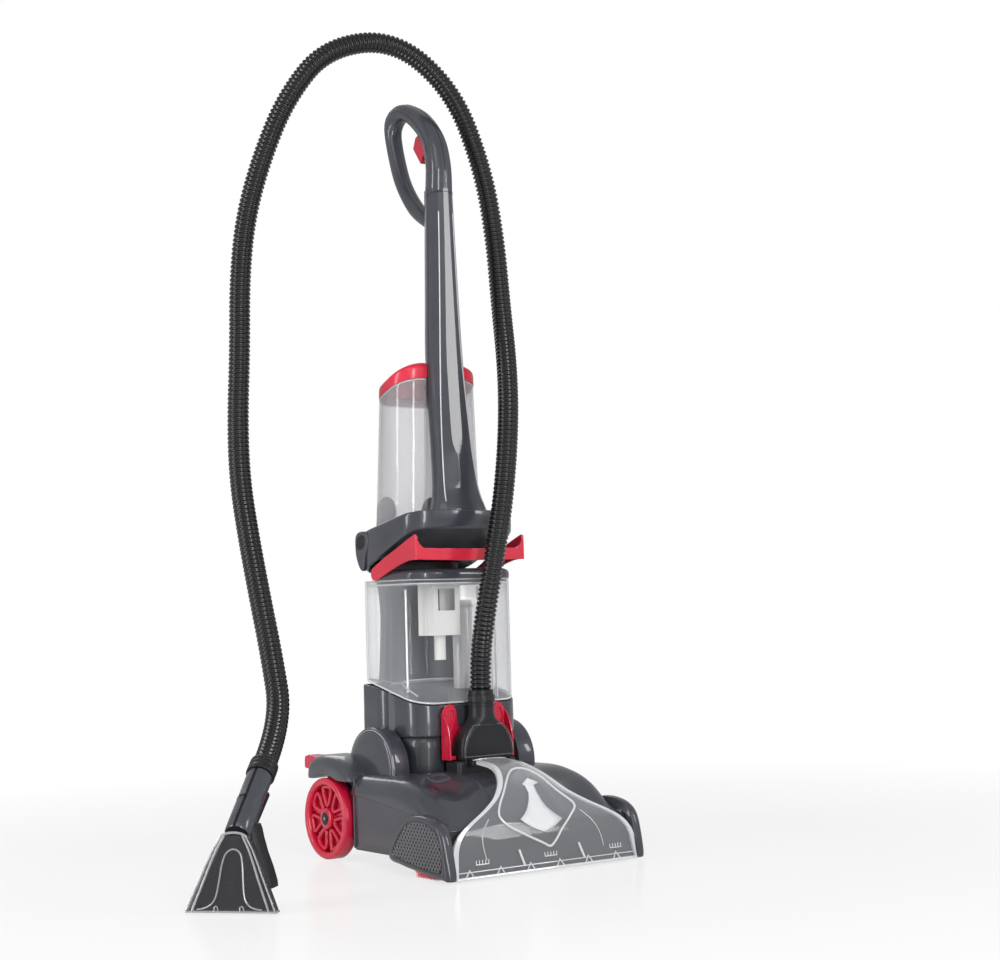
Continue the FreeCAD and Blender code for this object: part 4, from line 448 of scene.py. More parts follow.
wall_rows = [y for y in HOOD_ROWS if y >= CRADLE_Y]
for sign in (-1, 1):
    first = len(hood_verts)
    for y in wall_rows:
        top = [v for v in hood_verts[:first] if v[1] == y and abs(v[0] - sign * CRADLE_HALF) < 0.1]
        hood_verts += [top[0], *((sign * CRADLE_HALF, y, z) for z in (70, SIDE_EDGE_Z))]
    for i in range(len(wall_rows) - 1):
        for k in range(2):
            a = first + 3 * i + k
            hood_faces.append((a, a + 1, a + 4, a + 3) if sign > 0 else (a, a + 3, a + 4, a + 1))
piece("base_hood_shell", [(hood_verts, hood_faces)], grey_plastic, "base",
      ["base_hood"], thickness=3, sharp=40)


def hood_top(x, y):
    """Height of the hood's upper face."""
    return smooth_value(hood_section(y)[:len(HOOD_TOP_X)], abs(x))


pad_rings = []
for inset, lift in ((0, -0.8), (1, 1.6), (2.6, 2.3), (4.6, 2.1), (6.6, -0.8), (0, -0.8)):
    ring = []
    for c, s in around(48):
        x = PAD_MIDDLE[0] + (PAD_HALF[0] - inset) * math.copysign(abs(c) ** 0.6, c)
        y = PAD_MIDDLE[1] + (PAD_HALF[1] - inset) * math.copysign(abs(s) ** 0.6, s)
        ring.append((x, y, hood_top(x, y) + lift))
    pad_rings.append(ring)
piece("hood_pad_rim", [stack(pad_rings, caps=(False, False))], grey_plastic,
      "base", sharp=50)

arms = []
for sign in (-1, 1):
    arms.append(block(sign * CRADLE_HALF, sign * 128, 54, 150, SIDE_EDGE_Z, 117.8))
    arms.append(block(sign * 127, sign * 143.5, 53.5, 57, SIDE_EDGE_Z, 112))
piece("base_arms", arms, grey_plastic, "base", bevel=2.5, segments=3)

HUMP_LINE = [(55.5, 116), (60, 121.5), (68, 127.5), (82, 134), (103, 139.8), (129, 140.8),
             (150, 138), (159, 134.5), (163, 130)]
HUMP_ROWS = [(55.5, 0.55), (56, 0.8), (57.5, 0.93)]
HUMP_ROWS += [(y, 1) for y in (60, 64, 68, 75, 82, 92, 103, 116, 129, 140, 150, 157)]
HUMP_ROWS += [(160.5, 0.95), (162.3, 0.82), (163, 0.6)]
HUMP_INNER = 99.5


def hump_ring(side, y, swell):
    """Section of a wheel hump: flat-topped with a broad outer shoulder and an arched underside."""
    top = smooth_value(HUMP_LINE, y) * swell + 112 * (1 - swell)
    arch = WHEEL_Z + math.sqrt(max(0, WHEEL_ROOM ** 2 - (y - WHEEL_Y) ** 2)) + 0.8
    under = min(max(107.5, arch), top - 6)
    ring = [(HUMP_INNER, 108), (HUMP_INNER, top - 9)]
    for angle in (0, 30, 60, 90):
        a = math.radians(angle)
        ring.append((108.5 - 9 * math.cos(a), top - 9 + 9 * math.sin(a)))
    ring.append((120, top + 0.1))
    room = min(14, top - under - 3)
    for angle in (90, 70, 50, 30, 10, 0):
        a = math.radians(angle)
        ring.append((137 + 14 * math.cos(a), top - room + room * math.sin(a)))
    ring += [(151, under + 1), (150, under), (131, under), (128.5, 108)]
    return [(side * (HUMP_INNER + (x - HUMP_INNER) * (0.96 + 0.04 * swell)), y, z)
            for x, z in ring]


for side_name, sign in (("left", -1), ("right", 1)):
    hump = stack([hump_ring(sign, y, swell) for y, swell in HUMP_ROWS])
    piece("wheel_hump_" + side_name, [hump], grey_plastic, "base", sharp=50)

# ---------------------------------------------------------------- pivot covers
# Two big round caps, one on each side of the tower's foot, hide the recline pins. They are
# separate satin mouldings; the fine pale rim round each is a painted highlight.
PIVOT = (0, 50, 122)
COVER = [(0.01, 121), (20, 121.2), (33, 120.9), (44, 120), (50, 118.8), (52.3, 117.4),
         (52.8, 116.6), (54.2, 116.6), (55, 117.4), (56, 117), (56.7, 115.6), (57, 113),
         (55.6, 98), (54, 91.2), (0.01, 91.2)]
COVER_RIM = [(52.9, 116.5), (53.1, 117.5), (53.9, 117.5), (54.1, 116.5)]


def turned(profile, centre, axis, count=64, closed=False):
    """Body of revolution about an axis from (radius, position along the axis) points."""
    spot = {"X": lambda r, t, c, s: (t, r * c, r * s), "Y": lambda r, t, c, s: (r * c, t, r * s),
            "Z": lambda r, t, c, s: (r * c, r * s, t)}[axis]
    rings = []
    for c, s in around(count):
        rings.append([tuple(a + b for a, b in zip(centre, spot(r, t, c, s))) for r, t in profile])
    rings.append(rings[0])
    return stack(rings, caps=(False, False), closed=closed)


# Pale grey finish for thin rims and ridge lines: painted highlight.
painted_highlight_edge = moulded("painted_highlight_edge", (0.42, 0.43, 0.45), roughness=0.22, coat=0.6)
cover_shapes, rim_shapes = [], []
for sign in (-1, 1):
    cover_shapes.append(turned([(r, sign * x) for r, x in COVER], PIVOT, "X", 96))
    rim_shapes.append(turned([(r, sign * x) for r, x in COVER_RIM], PIVOT, "X", 96, closed=True))
piece("pivot_covers", cover_shapes, grey_plastic, "base", ["trunnion_covers"])
piece("pivot_cover_rims", rim_shapes, painted_highlight_edge, "base")

# ---------------------------------------------------------------- nozzle frame, cheeks and windows
# The brush bay has a roof, a rear wall and two thick outer cheeks in satin grey. Each cheek has a
# recessed window with a woven diamond lattice behind a raised frame.
def cheek_outline(inset):
    """Outline of a cheek, moved inwards by a margin, as (Y, Z) points."""
    return [
        (-189 + 2 * inset, 2 + 1.4 * inset), (-184.5 + 1.2 * inset, 30),
        (-176 + inset, 57.5 - 0.4 * inset), (-160 + inset / 2, 71.5 - inset),
        (-133, 77.6 - inset), (-108, 76 - inset), (-88 - inset / 2, 67 - inset),
        (-66 - inset, 45 - 0.4 * inset), (-52.5 - 1.6 * inset, 18.5 + 0.8 * inset),
        (-80 - inset, 11.8 + inset), (-112, 7.6 + inset), (-150, 3.2 + inset),
        (-176 + inset, 1.2 + 1.2 * inset),
    ]


def curve_point(p0, p1, p2, p3, t):
    """Point a share of the way from the second of four points to the third on a smooth line."""
    return tuple(
        0.5 * (2 * b + (c - a) * t + (2 * a - 5 * b + 4 * c - d) * t * t
               + (3 * b - a - 3 * c + d) * t ** 3)
        for a, b, c, d in zip(p0, p1, p2, p3)
    )


def closed_curve(points, steps=5):
    """Smooth closed line through points in a plane."""
    count = len(points)
    line = []
    for i in range(count):
        four = [points[(i + k) % count] for k in (-1, 0, 1, 2)]
        line += [curve_point(*four, step / steps) for step in range(steps)]
    return line


def crossings(line, nx, nz, offset):
    """Where a straight cut crosses a closed outline, in order along the cut."""
    found = []
    for (y0, z0), (y1, z1) in zip(line, line[1:] + line[:1]):
        d0 = y0 * nx + z0 * nz - offset
        d1 = y1 * nx + z1 * nz - offset
        if (d0 < 0) != (d1 < 0):
            t = d0 / (d0 - d1)
            found.append((y0 + (y1 - y0) * t, z0 + (z1 - z0) * t))
    return sorted(found, key=lambda p: p[0] * nz - p[1] * nx)


LATTICE_PITCH, LATTICE_HALF, LATTICE_ANGLE = 5.4, 1.25, math.radians(52)
CHEEK = [(145.4, 0.6), (146, 0), (153.5, 0), (156.8, 0.7), (158.8, 2), (159.8, 3.8),
         (159.9, 6.2), (159.2, 7.2), (158.2, 7.6)]
cheeks, lattice, window_backs = [], [], []
window = closed_curve(cheek_outline(8))
for sign in (-1, 1):
    cheeks.append(stack([
        [(sign * x, y, max(z, 0.7)) for y, z in closed_curve(cheek_outline(inset))]
        for x, inset in CHEEK
    ]))
    window_backs.append(stack([[(sign * x, y, z) for y, z in window] for x in (158.25, 158.6)]))
    for slope in (1, -1):
        nx, nz = math.sin(LATTICE_ANGLE), slope * math.cos(LATTICE_ANGLE)
        lift = 0.25 if slope > 0 else 0
        for step in range(-40, 41):
            ends = crossings(window, nx, nz, step * LATTICE_PITCH)
            for a, b in zip(ends[::2], ends[1::2]):
                if math.dist(a, b) < 3:
                    continue
                corners = [(y + way * nx * LATTICE_HALF, z + way * nz * LATTICE_HALF)
                           for (y, z), way in ((a, -1), (a, 1), (b, 1), (b, -1))]
                lattice.append(stack([
                    [(sign * x, y, z) for y, z in corners] for x in (158.5, 159.2 + lift)
                ]))
bay = [block(-145.4, 145.4, -162.8, -92, 54, 58), block(-145.4, 145.4, -95, -92, 18, 57)]
piece("nozzle_cheeks", cheeks, grey_plastic, "base", ["nozzle_frame"], sharp=50)
black_plastic = moulded("black_plastic", (0.012, 0.012, 0.014), roughness=0.38, mottle=0.2,
                        shine=0.28)
piece("brush_bay_walls", bay, black_plastic, "base", bevel=0.8)
window_plastic = moulded("window_plastic", (0.10, 0.10, 0.11), roughness=0.32, coat=0.3)
piece("window_backs", window_backs, black_plastic, "base", ["side_windows"])
piece("window_lattice", lattice, window_plastic, "base", bevel=0.3)

# ---------------------------------------------------------------- edge bristles
# Short rows of coral nylon bristle are set in the lower edge of each cheek. Every bristle leans
# and ends a little differently.
BRISTLE_ROWS, BRISTLES_EACH = 4, 34
BRISTLE_X, BRISTLE_Y = 149.6, -163.4
ROW_GAP, BRISTLE_GAP = 2.1, 1.46
random.seed(11)
red_bristle = moulded("red_bristle", (0.74, 0.16, 0.19), roughness=0.55, mottle=0.15)
bristles = []
for sign in (-1, 1):
    for row in range(BRISTLE_ROWS):
        for step in range(BRISTLES_EACH):
            x = sign * (BRISTLE_X + ROW_GAP * row + random.uniform(-0.3, 0.3))
            y = BRISTLE_Y + BRISTLE_GAP * step + random.uniform(-0.3, 0.3)
            tip_x = x + sign * random.uniform(-0.5, 0.8)
            tip_y = y + random.uniform(-0.9, 0.9)
            bristles.append(stack([
                [(cx + r * math.cos(a), cy + r * math.sin(a), z) for a in (0, 1.571, 3.142, 4.712)]
                for cx, cy, z, r in ((x, y, 7.5, 0.55), (tip_x, tip_y, 0.4, 0.28))
            ]))
    bristles.append(block(sign * 148.4, sign * 157, -164, -113.5, 6.2, 8.4))
piece("edge_bristles", bristles, red_bristle, "base", ["edge_brushes"])


# ---------------------------------------------------------------- clear suction cover
# The front duct is a thick clear moulding with polished edges. A narrow neck at the port widens
# into the full suction lip; it carries a raised rib, a frosted arrow and small locating tabs. Its
# edges, rib and small marks are drawn in a paler, denser clear finish as painted highlight.
def columns(table):
    """One two-column table for each further column of a table."""
    return [[(row[0], row[k]) for row in table] for k in range(1, len(table[0]))]


def sheet(rows):
    """Open skin over rows of points, side by side."""
    return stack(rows, caps=(False, False), closed=False)


def clear(name, tint, face, edge, roughness=0.06):
    """Clear moulded plastic, seen through face on and denser towards its edges."""
    material, tree, shader = new_material(name, Specular_IOR_Level=0.6, Coat_Weight=0.7,
                                          Coat_Roughness=0.03)
    facing = add_node(tree, "LayerWeight", Blend=0.45).outputs["Facing"]
    dense = add_range(tree, maths(tree, "POWER", facing, 1.6), face, edge)
    cloud = add_noise(tree, 35)
    haze = add_range(tree, cloud, roughness * 0.6, roughness * 1.6)
    tone = add_tone(tree, cloud, [c * 0.93 for c in tint], tint)
    feed(tree, shader, Alpha=dense, Roughness=haze, Base_Color=tone)
    return material


DUCT_LINE = [(-58.4, 135.6), (-80, 134), (-103, 130.6), (-124, 122.6), (-140.5, 111.5),
             (-155, 94.5), (-167, 76.5), (-177, 57), (-183.4, 36), (-187, 14), (-189.8, 1.2)]
DUCT_WIDTH = [(-190, 149.5), (-187, 147.5), (-182.5, 143), (-177.5, 131), (-172, 112),
              (-164, 84), (-155, 62), (-145, 48), (-134, 39.5), (-118, 32), (-102, 28.5),
              (-58, 28)]
DUCT_END_Y = -190
DUCT_ROWS, DUCT_COLUMNS, RIM_ROWS = 72, 14, 60
duct_steps = []
for (y0, z0), (y1, z1) in zip(DUCT_LINE, DUCT_LINE[1:]):
    duct_steps.append(math.hypot(y1 - y0, z1 - z0))
duct_reach = [sum(duct_steps[:k]) for k in range(len(DUCT_LINE))]
duct_total = duct_reach[-1]
duct_y, duct_z = columns([(reach, *spot) for reach, spot in zip(duct_reach, DUCT_LINE)])


def duct_point(along, across, lift=0.0):
    """Point on the cover: along from 0 at the neck to 1 at the lip, across from -1 to 1."""
    reach = min(max(along, 0), 1) * duct_total
    y, z = smooth_value(duct_y, reach), smooth_value(duct_z, reach)
    ahead = min(reach + 1, duct_total)
    back = ahead - 2
    dy = smooth_value(duct_y, ahead) - smooth_value(duct_y, back)
    dz = smooth_value(duct_z, ahead) - smooth_value(duct_z, back)
    size = math.hypot(dy, dz)
    sag = -2.4 * across * across + lift
    return (across * smooth_value(DUCT_WIDTH, y), max(DUCT_END_Y, y + sag * dz / size),
            max(0.4, z - sag * dy / size))


clear_plastic = clear("clear_plastic", (0.62, 0.63, 0.67), face=0.09, edge=0.62)
# Paler, denser clear finish for edges, ribs and trim: painted highlight.
polished_painted_highlight = clear("clear_edge_painted_highlight", (0.90, 0.92, 0.94), face=0.55, edge=0.95)
frosted = moulded("frosted_white", (0.66, 0.67, 0.69), roughness=0.5, mottle=0.04)
duct_rings = [[duct_point(row / DUCT_ROWS, k / DUCT_COLUMNS)
               for k in range(-DUCT_COLUMNS, DUCT_COLUMNS + 1)] for row in range(DUCT_ROWS + 1)]
piece("suction_cover", [sheet(duct_rings)], clear_plastic, "base",
      ["nozzle_cover"], thickness=2.6)


def tube_shape(points, radius, sides=8, closed=False):
    """Round bar of one radius along points in millimetres."""
    dense = [Vector(p) for p in points]
    return sweep(dense, [radius] * len(dense), sides, closed)


def duct_bar(start, end, steps, lift, radius):
    """Straight bar on the cover between two spots."""
    return tube_shape([
        duct_point(*(a + (b - a) * k / steps for a, b in zip(start, end)), lift)
        for k in range(steps + 1)
    ], radius)


rim = []
for side, broad in ((-1, 7.5), (1, 6.0)):
    flange = []
    for row in range(RIM_ROWS + 1):
        along = row / RIM_ROWS
        inner = side * (1 - broad / smooth_value(DUCT_WIDTH, duct_point(along, side)[1]))
        flange.append([duct_point(along, across, lift) for across, lift in (
            (inner, 0.5), (side, 0.7), (side, -3.4), (inner, -2.9))])
    rim.append(stack(flange))
rim.append(tube_shape([duct_point(0, k / 10, -0.6) for k in range(-10, 11)], 1.9))
rim.append(tube_shape([duct_point(0.992, k / 20, -1.2) for k in range(-20, 21)], 1.7))
rim.append(tube_shape([duct_point(0.958, k / 20, 0.2) for k in range(-19, 20)], 0.6))
piece("suction_cover_rim", rim, polished_painted_highlight, "base")

RIB = [(0.41, -0.70), (0.52, -0.78), (0.62, -0.68), (0.70, -0.48), (0.77, -0.26), (0.835, -0.06),
       (0.862, 0.02), (0.84, 0.08), (0.76, 0.21), (0.69, 0.39), (0.635, 0.59), (0.60, 0.665),
       (0.53, 0.68), (0.46, 0.66), (0.38, 0.60), (0.315, 0.38), (0.30, -0.02), (0.33, -0.42)]
ribs = [tube_shape([duct_point(a, c, 0.6) for a, c in closed_curve(RIB, 4)], 1.5, closed=True)]
for start, end in (((0.66, -0.76), (0.90, -0.66)), ((0.66, 0.60), (0.90, 0.62))):
    ribs.append(duct_bar(start, end, 10, 0.2, 0.5))
for k in range(6):
    middle = -0.84 + 0.316 * k
    ribs.append(tube_shape([
        duct_point(along, across, 0.4)
        for along, across in ((0.99, middle - 0.04), (0.945, middle), (0.99, middle + 0.04))
    ], 1.0))
for across in (-0.77, -0.045, 0.69):
    lines = [((0.895, across + 0.032 * k), (0.92, across + 0.032 * k)) for k in range(5)]
    lines.append(((0.92, across), (0.92, across + 0.13)))
    ribs += [tube_shape([duct_point(*spot, 0.3) for spot in line], 0.6) for line in lines]
piece("suction_cover_ribs", ribs, polished_painted_highlight, "base")

ARROW_LEFT = [(0.404, 0.09), (0.447, -0.203), (0.462, -0.13), (0.512, -0.101), (0.562, -0.145),
              (0.617, -0.196), (0.654, -0.244), (0.681, -0.296), (0.712, -0.22), (0.745, -0.13),
              (0.772, -0.02)]
ARROW_RIGHT = [(0.404, 0.09), (0.446, 0.374), (0.462, 0.14), (0.518, 0.115), (0.574, 0.115),
               (0.623, 0.14), (0.663, 0.196), (0.704, 0.26), (0.735, 0.16), (0.758, 0.07),
               (0.774, 0.0)]
arrow_rows = []
for (a0, c0), (a1, c1) in zip(ARROW_LEFT, ARROW_RIGHT):
    arrow_rows.append([
        duct_point(a0 + (a1 - a0) * t / 4, c0 + (c1 - c0) * t / 4, 0.45) for t in range(5)
    ])
piece("suction_cover_arrow", [sheet(arrow_rows)], frosted, "base",
      thickness=0.5)
pins = [duct_bar((0.862, -0.32), (0.955, -0.275), 6, 1.0, 1.5),
        duct_bar((0.863, 0.338), (0.955, 0.38), 6, 1.0, 1.5)]
piece("suction_cover_pins", pins, frosted, "base")
clips = [block(-34, -28, -70, -60, 127, 134.5), block(28, 34, -70, -60, 127, 134.5)]
piece("cover_clips", clips, black_plastic, "base", bevel=1.2)

# ---------------------------------------------------------------- wheels
# Each rear wheel is one glossy red moulding: a broad flat rim, a recessed web and seven pairs of
# curved ribs round teardrop hollows. A black cap with a hexagon screw holds it on the steel axle.
red_plastic = moulded("red_plastic", (0.52, 0.006, 0.036), roughness=0.30, coat=0.45, mottle=0.06)
steel, steel_tree, steel_shader = new_material(
    "steel", Metallic=1, Base_Color=(0.55, 0.55, 0.56, 1))
steel_grain = add_node(steel_tree, "TexNoise", Scale=260).outputs["Fac"]
feed(steel_tree, steel_shader, Roughness=add_range(steel_tree, steel_grain, 0.22, 0.42))

# Profiles hold (radius, depth outwards from the wheel's inner face) points.
WHEEL_FACE = 131
TYRE = [(54.2, 1), (55, 2.2), (55, 19.6), (54.2, 21), (52.8, 21.9), (47.6, 21.9), (46.2, 20.8),
        (45.6, 18), (45.2, 13), (45.2, 4), (46, 0.6), (52.8, 0.1)]
WEB = [(5.1, 7), (45.6, 7), (45.6, 10), (15, 11), (14, 19.5), (12.5, 20.6), (5.1, 20.6)]
CAP = [(0.01, 21.6), (4.4, 21.6), (4.6, 20.9), (8.4, 20.9), (9.6, 20), (9.6, 19.4), (0.01, 19.4)]
SCREW = [(2.4, 21.2), (2.4, 22), (1.4, 22), (1.4, 21.5)]
TEARDROP = [(17.5, 0), (20, 3.8), (28, 7.4), (36, 10.6), (41.2, 9.4), (42.6, 4), (42.6, -4),
            (41.2, -9.4), (36, -10.6), (28, -7.4), (20, -3.8)]
TEARDROP_RIB = [(2.6, 9.6), (2.5, 16), (1.7, 17.2), (-1.5, 17.2), (-2.3, 16), (-2.4, 9.6)]
SPOKES, NOTCHES = 7, 28


def wheel_spot(radius, offset, angle, x):
    """Point on a wheel's face from a distance out along a spoke and one across it."""
    c, s = math.cos(angle), math.sin(angle)
    return (x, WHEEL_Y + radius * c - offset * s, WHEEL_Z + radius * s + offset * c)


def wheel_turned(profile, sign, count, closed=True):
    """Body of revolution on one wheel's axis."""
    return turned([(r, sign * (WHEEL_FACE + depth)) for r, depth in profile],
                  (0, WHEEL_Y, WHEEL_Z), "X", count, closed)


def wheel_bar(corners, angle, sign, depths):
    """Bar on a wheel's face with its corners given along and across a spoke."""
    return stack([[wheel_spot(r, o, angle, sign * (WHEEL_FACE + depth)) for r, o in corners]
                  for depth in depths])


def grown(loop, by):
    """Outline moved outwards by a distance."""
    ring = []
    for k, (r, o) in enumerate(loop):
        (r0, o0), (r1, o1) = loop[k - 1], loop[(k + 1) % len(loop)]
        size = math.hypot(r1 - r0, o1 - o0)
        ring.append((r + by * (o1 - o0) / size, o - by * (r1 - r0) / size))
    return ring


teardrop_line = closed_curve(TEARDROP, 4)
for side_name, sign in (("left", -1), ("right", 1)):
    wheel, wheel_body = "wheel_" + side_name, "wheel_" + side_name + "_body"
    shapes = [wheel_turned(TYRE, sign, 96), wheel_turned(WEB, sign, 64)]
    for spoke in range(SPOKES):
        angle = 2 * math.pi * (spoke + 0.5) / SPOKES + 0.2
        rings = [
            [wheel_spot(r, o, angle, sign * (WHEEL_FACE + depth))
             for r, o in grown(teardrop_line, by)] for by, depth in TEARDROP_RIB
        ]
        shapes.append(stack(rings, caps=(False, False)))
        shapes.append(wheel_bar([(14, -1.2), (45, -1.6), (45, 1.6), (14, 1.2)],
                                angle + math.pi / SPOKES, sign, (9.8, 13.4)))
    for notch in range(NOTCHES):
        shapes.append(wheel_bar([(48.4, -0.9), (51.6, -0.9), (51.6, 0.9), (48.4, 0.9)],
                                2 * math.pi * notch / NOTCHES, sign, (21.6, 22)))
    piece(wheel + "_moulding", shapes, red_plastic, wheel_body, [wheel], sharp=40)
    piece(wheel + "_cap", [wheel_turned(CAP, sign, 48, closed=False)], black_plastic,
          wheel_body)
    screw = stack([[wheel_spot(r, 0, math.pi * k / 3, sign * (WHEEL_FACE + depth))
                    for k in range(6)] for r, depth in SCREW])
    piece(wheel + "_screw", [screw], steel, wheel_body, bevel=0.15)

# ---------------------------------------------------------------- recline pedal
# A small foot pedal of moulded red plastic turns on a steel pin and sticks out behind the left
# hump. It has a turned-down tab, and a raised pad that takes the foot.
PEDAL = [(151, 120), (151.4, 133), (158, 136), (172, 137.4), (182, 136.6), (186, 134),
         (186.6, 122), (184, 119.6), (174, 118.6), (163, 117.4), (154, 117)]
pedal = stack([[(x, y, z) for y, z in closed_curve(PEDAL, 3)] for x in (-142, -119.2)])
piece("recline_pedal_moulding", [pedal, block(-139, -122, 172, 183, 136.4, 137.6)], red_plastic,
      "pedal", ["recline_pedal"], bevel=1.6, segments=3)

# ---------------------------------------------------------------- hose port, door and adapter
# The port is a black plastic frame set in the hood. Its red moulded door stands folded up
# against the tower, with a rounded ear and side wall on each side of the black bell-shaped plug
# that holds the hose.
def slab(outline, plane, low, high):
    """Flat plate with an outline in one plane and two faces across it."""
    if plane == "XZ":
        return stack([[(x, at, z) for x, z in outline] for at in (low, high)])
    return stack([[(at, y, z) for y, z in outline] for at in (low, high)])


def quarter(cx, cy, radius, start, steps):
    """Points of a quarter circle in plan, from a starting angle in degrees."""
    angles = [math.radians(start + 90 * step / steps) for step in range(steps + 1)]
    return [(cx + radius * math.cos(a), cy + radius * math.sin(a)) for a in angles]


def rounded(half, y_low, y_high, corner, z, steps=6):
    """Rounded rectangle in plan; z is a height or a function of y."""
    plan = []
    for way_x, cy, start in ((1, y_high - corner, 0), (-1, y_high - corner, 90),
                             (-1, y_low + corner, 180), (1, y_low + corner, 270)):
        plan += quarter(way_x * (half - corner), cy, corner, start, steps)
    return [(x, y, z(y) if callable(z) else z) for x, y in plan]


PORT = [  # half width, front, rear, corner radius and height
    (47.6, -57.8, -24.2, 5, 104.2), (47.6, -57.8, -24.2, 5, 130.5),
    (46.6, -56.8, -25.2, 4.4, 133), (45, -55.2, -26.8, 4, 133.9),
    (42.5, -52.8, -29, 3, 133.9), (42, -52.4, -29.4, 3, 131),
]
port = stack([rounded(*row) for row in PORT])
piece("hose_port", [port], black_plastic, "base", ["port_block"], sharp=50)

DOOR_BACK = [(-52.4, 134.6), (52.4, 134.6), (52.4, 192), (50.5, 200), (45.5, 206), (39, 208.2),
             (33, 206.5), (29, 200), (28, 190), (27, 177.5), (-27, 177.5), (-28, 190), (-29, 200),
             (-33, 206.5), (-39, 208.2), (-45.5, 206), (-50.5, 200), (-52.4, 192)]
DOOR_WALL = [(-25.2, 134.6), (-25.2, 196), (-30, 195), (-36, 188), (-41, 176), (-44.9, 160),
             (-44.9, 134.6)]
DOOR_EAR = [(31, 199), (38.6, 204.6), (45.6, 201), (48.6, 190), (47.6, 168), (44.5, 156),
            (36, 176)]
EAR_X, EAR_Z = 40.4, 182
door = [slab(DOOR_BACK, "XZ", -27.6, -25)]
for sign in (-1, 1):
    door.append(slab(DOOR_WALL, "YZ", sign * 50.4, sign * 52.9))
    ear = closed_curve([(sign * x, z) for x, z in DOOR_EAR], 4)
    inner = [(EAR_X * sign + 0.72 * (x - EAR_X * sign), EAR_Z + 0.8 * (z - EAR_Z)) for x, z in ear]
    door.append(stack([[(x, y, z) for x, z in line] for line, y in (
        (ear, -27.4), (ear, -29.6), (inner, -29.6), (inner, -27.8))]))
for sign in (-1, 1):
    door.append(block(sign * 43.4, sign * 51, -44.8, -41.6, 135.4, 140.5))
piece("port_door_moulding", door, red_plastic, "door", ["port_door"], bevel=0.8,
      segments=3)

BELL = [  # height, half width, front, rear and corner radius
    (120.6, 37, -57, -34, 3), (134.4, 37, -57, -34, 3), (134.6, 40.6, -59.4, -29.6, 5),
    (137, 41.6, -60.4, -28.6, 6), (150, 41.2, -60.4, -29, 7), (163, 38.4, -60.2, -29.6, 9),
    (174, 33, -60.6, -30, 12), (181, 26.5, -61, -29.6, 15), (186, 21.5, -62.2, -28, 17),
    (189.5, 18.6, -62.8, -27.2, 17.9), (195, 17.4, -62.4, -27.6, 17.3),
    (203.8, 17.2, -62.2, -27.8, 17.1), (204.4, 18, -63, -27, 17.9), (207.4, 18, -63, -27, 17.9),
    (208, 16.8, -61.8, -28.2, 16.7), (210, 16.8, -61.8, -28.2, 16.7),
    (210.6, 18, -63, -27, 17.9), (219.6, 18, -63, -27, 17.9), (220.4, 17, -62, -28, 16.9),
    (225.6, 17, -62, -28, 16.9), (226.2, 16, -61, -29, 15.9),
]
NECK_Y, NECK_RADIUS, NECK_RIBS = -45, 18, 24
NECK_RIB = [(0.01, 211.4), (0.9, 211.8), (0.9, 218.4), (0.01, 218.8)]
adapter = [stack([rounded(h, y0, y1, c, z, steps=8) for z, h, y0, y1, c in BELL])]
for c, s in around(NECK_RIBS):
    x, y = NECK_RADIUS * c, NECK_Y + NECK_RADIUS * s
    adapter.append(turned(NECK_RIB, (x * 0.985, NECK_Y + (y - NECK_Y) * 0.985, 0), "Z", 8))
# A paler grey bead round the bell's front edge is a painted highlight.
BELL_EDGE = [(-39.4, 139), (-39, 152), (-36, 163), (-30.6, 172.6), (-24, 180), (24, 180),
             (30.6, 172.6), (36, 163), (39, 152), (39.4, 139)]
piece("hose_adapter_edge_highlight", [tube_shape([(x, -60.2, z) for x, z in BELL_EDGE], 0.8, closed=True)],
      window_plastic, "base")
piece("hose_adapter_moulding", adapter, black_plastic, "base", ["hose_adapter"],
      sharp=42)

# ---------------------------------------------------------------- lower casing of the tower
# Two satin grey plastic shells meet at the middle of the sides. A shallow ledge runs round the
# front under the dirty water tank; the rear shell carries the vents, the rocker switch and the
# gland.
CASING_HALF, CASING_REACH = 87.9, 71.4


def deck(y):
    """Height of the sloping joint between the casing and the dirty water tank."""
    return 207 + 28 * min(max((y + 21) / 117, 0), 1)


def casing_ring(z, inset, front):
    """Half of the casing's outline at one height, open at its middle plane."""
    drop = max(0, PIVOT[2] - z)
    reach = math.sqrt(max(0, CASING_REACH ** 2 - drop ** 2)) - inset
    half = CASING_HALF - inset
    middle = PIVOT[1]
    turn = -1 if front else 1
    y_end = middle + turn * reach
    corner = min((34 if front else 11) - inset, reach - 1)
    left = [(-half, middle, z), (-half, middle + turn * (reach - corner) * 0.5, z)]
    for step in range(9):
        a = math.radians(90 * step / 8)
        left.append((-half + corner * (1 - math.cos(a)), y_end - turn * corner * (1 - math.sin(a)),
                     z))
    return (left + [(x, y_end, z) for x in (-30, -10, 10, 30)]
            + [(-x, y, z) for x, y, z in reversed(left)])


FOOT = [(50.9, 5.4), (53, 5.2), (58, 5), (66, 5), (76, 5), (88, 5), (102, 5), (122, 5), (150, 4.2),
        (166.4, 3.2)]
SHELL = [(165.4, 3.4), (165.6, 1.4), (166.6, 0.4), (168, 0.2), (177, 0.2), (190, 0.2), (203, 0.4)]
# The casing's foot below the ledge is a darker grey than the shells above: painted shade.
foot_painted_shade_plastic = moulded("foot_painted_shade_plastic", (0.030, 0.032, 0.038), roughness=0.42, coat=0.35)
for shell_name, front in (("front", True), ("rear", False)):
    foot = sheet([casing_ring(z, inset, front) for z, inset in FOOT])
    piece("tower_foot_" + shell_name, [foot], foot_painted_shade_plastic, "tower",
          thickness=2.6, sharp=38)
    rings = [[(x, y, min(z, deck(y) - 2.6)) for x, y, z in casing_ring(height, inset, front)]
             for height, inset in SHELL]
    for lift, inset in ((-2.4, 0.4), (-0.9, 0.8), (-0.2, 2.2)):
        rings.append([(x, y, max(204.5, deck(y) + lift))
                      for x, y, z in casing_ring(200, inset, front)])
    piece("tower_casing_" + shell_name, [sheet(rings)], grey_plastic, "tower",
          ["lower_casing_" + shell_name], thickness=2.6, sharp=38)

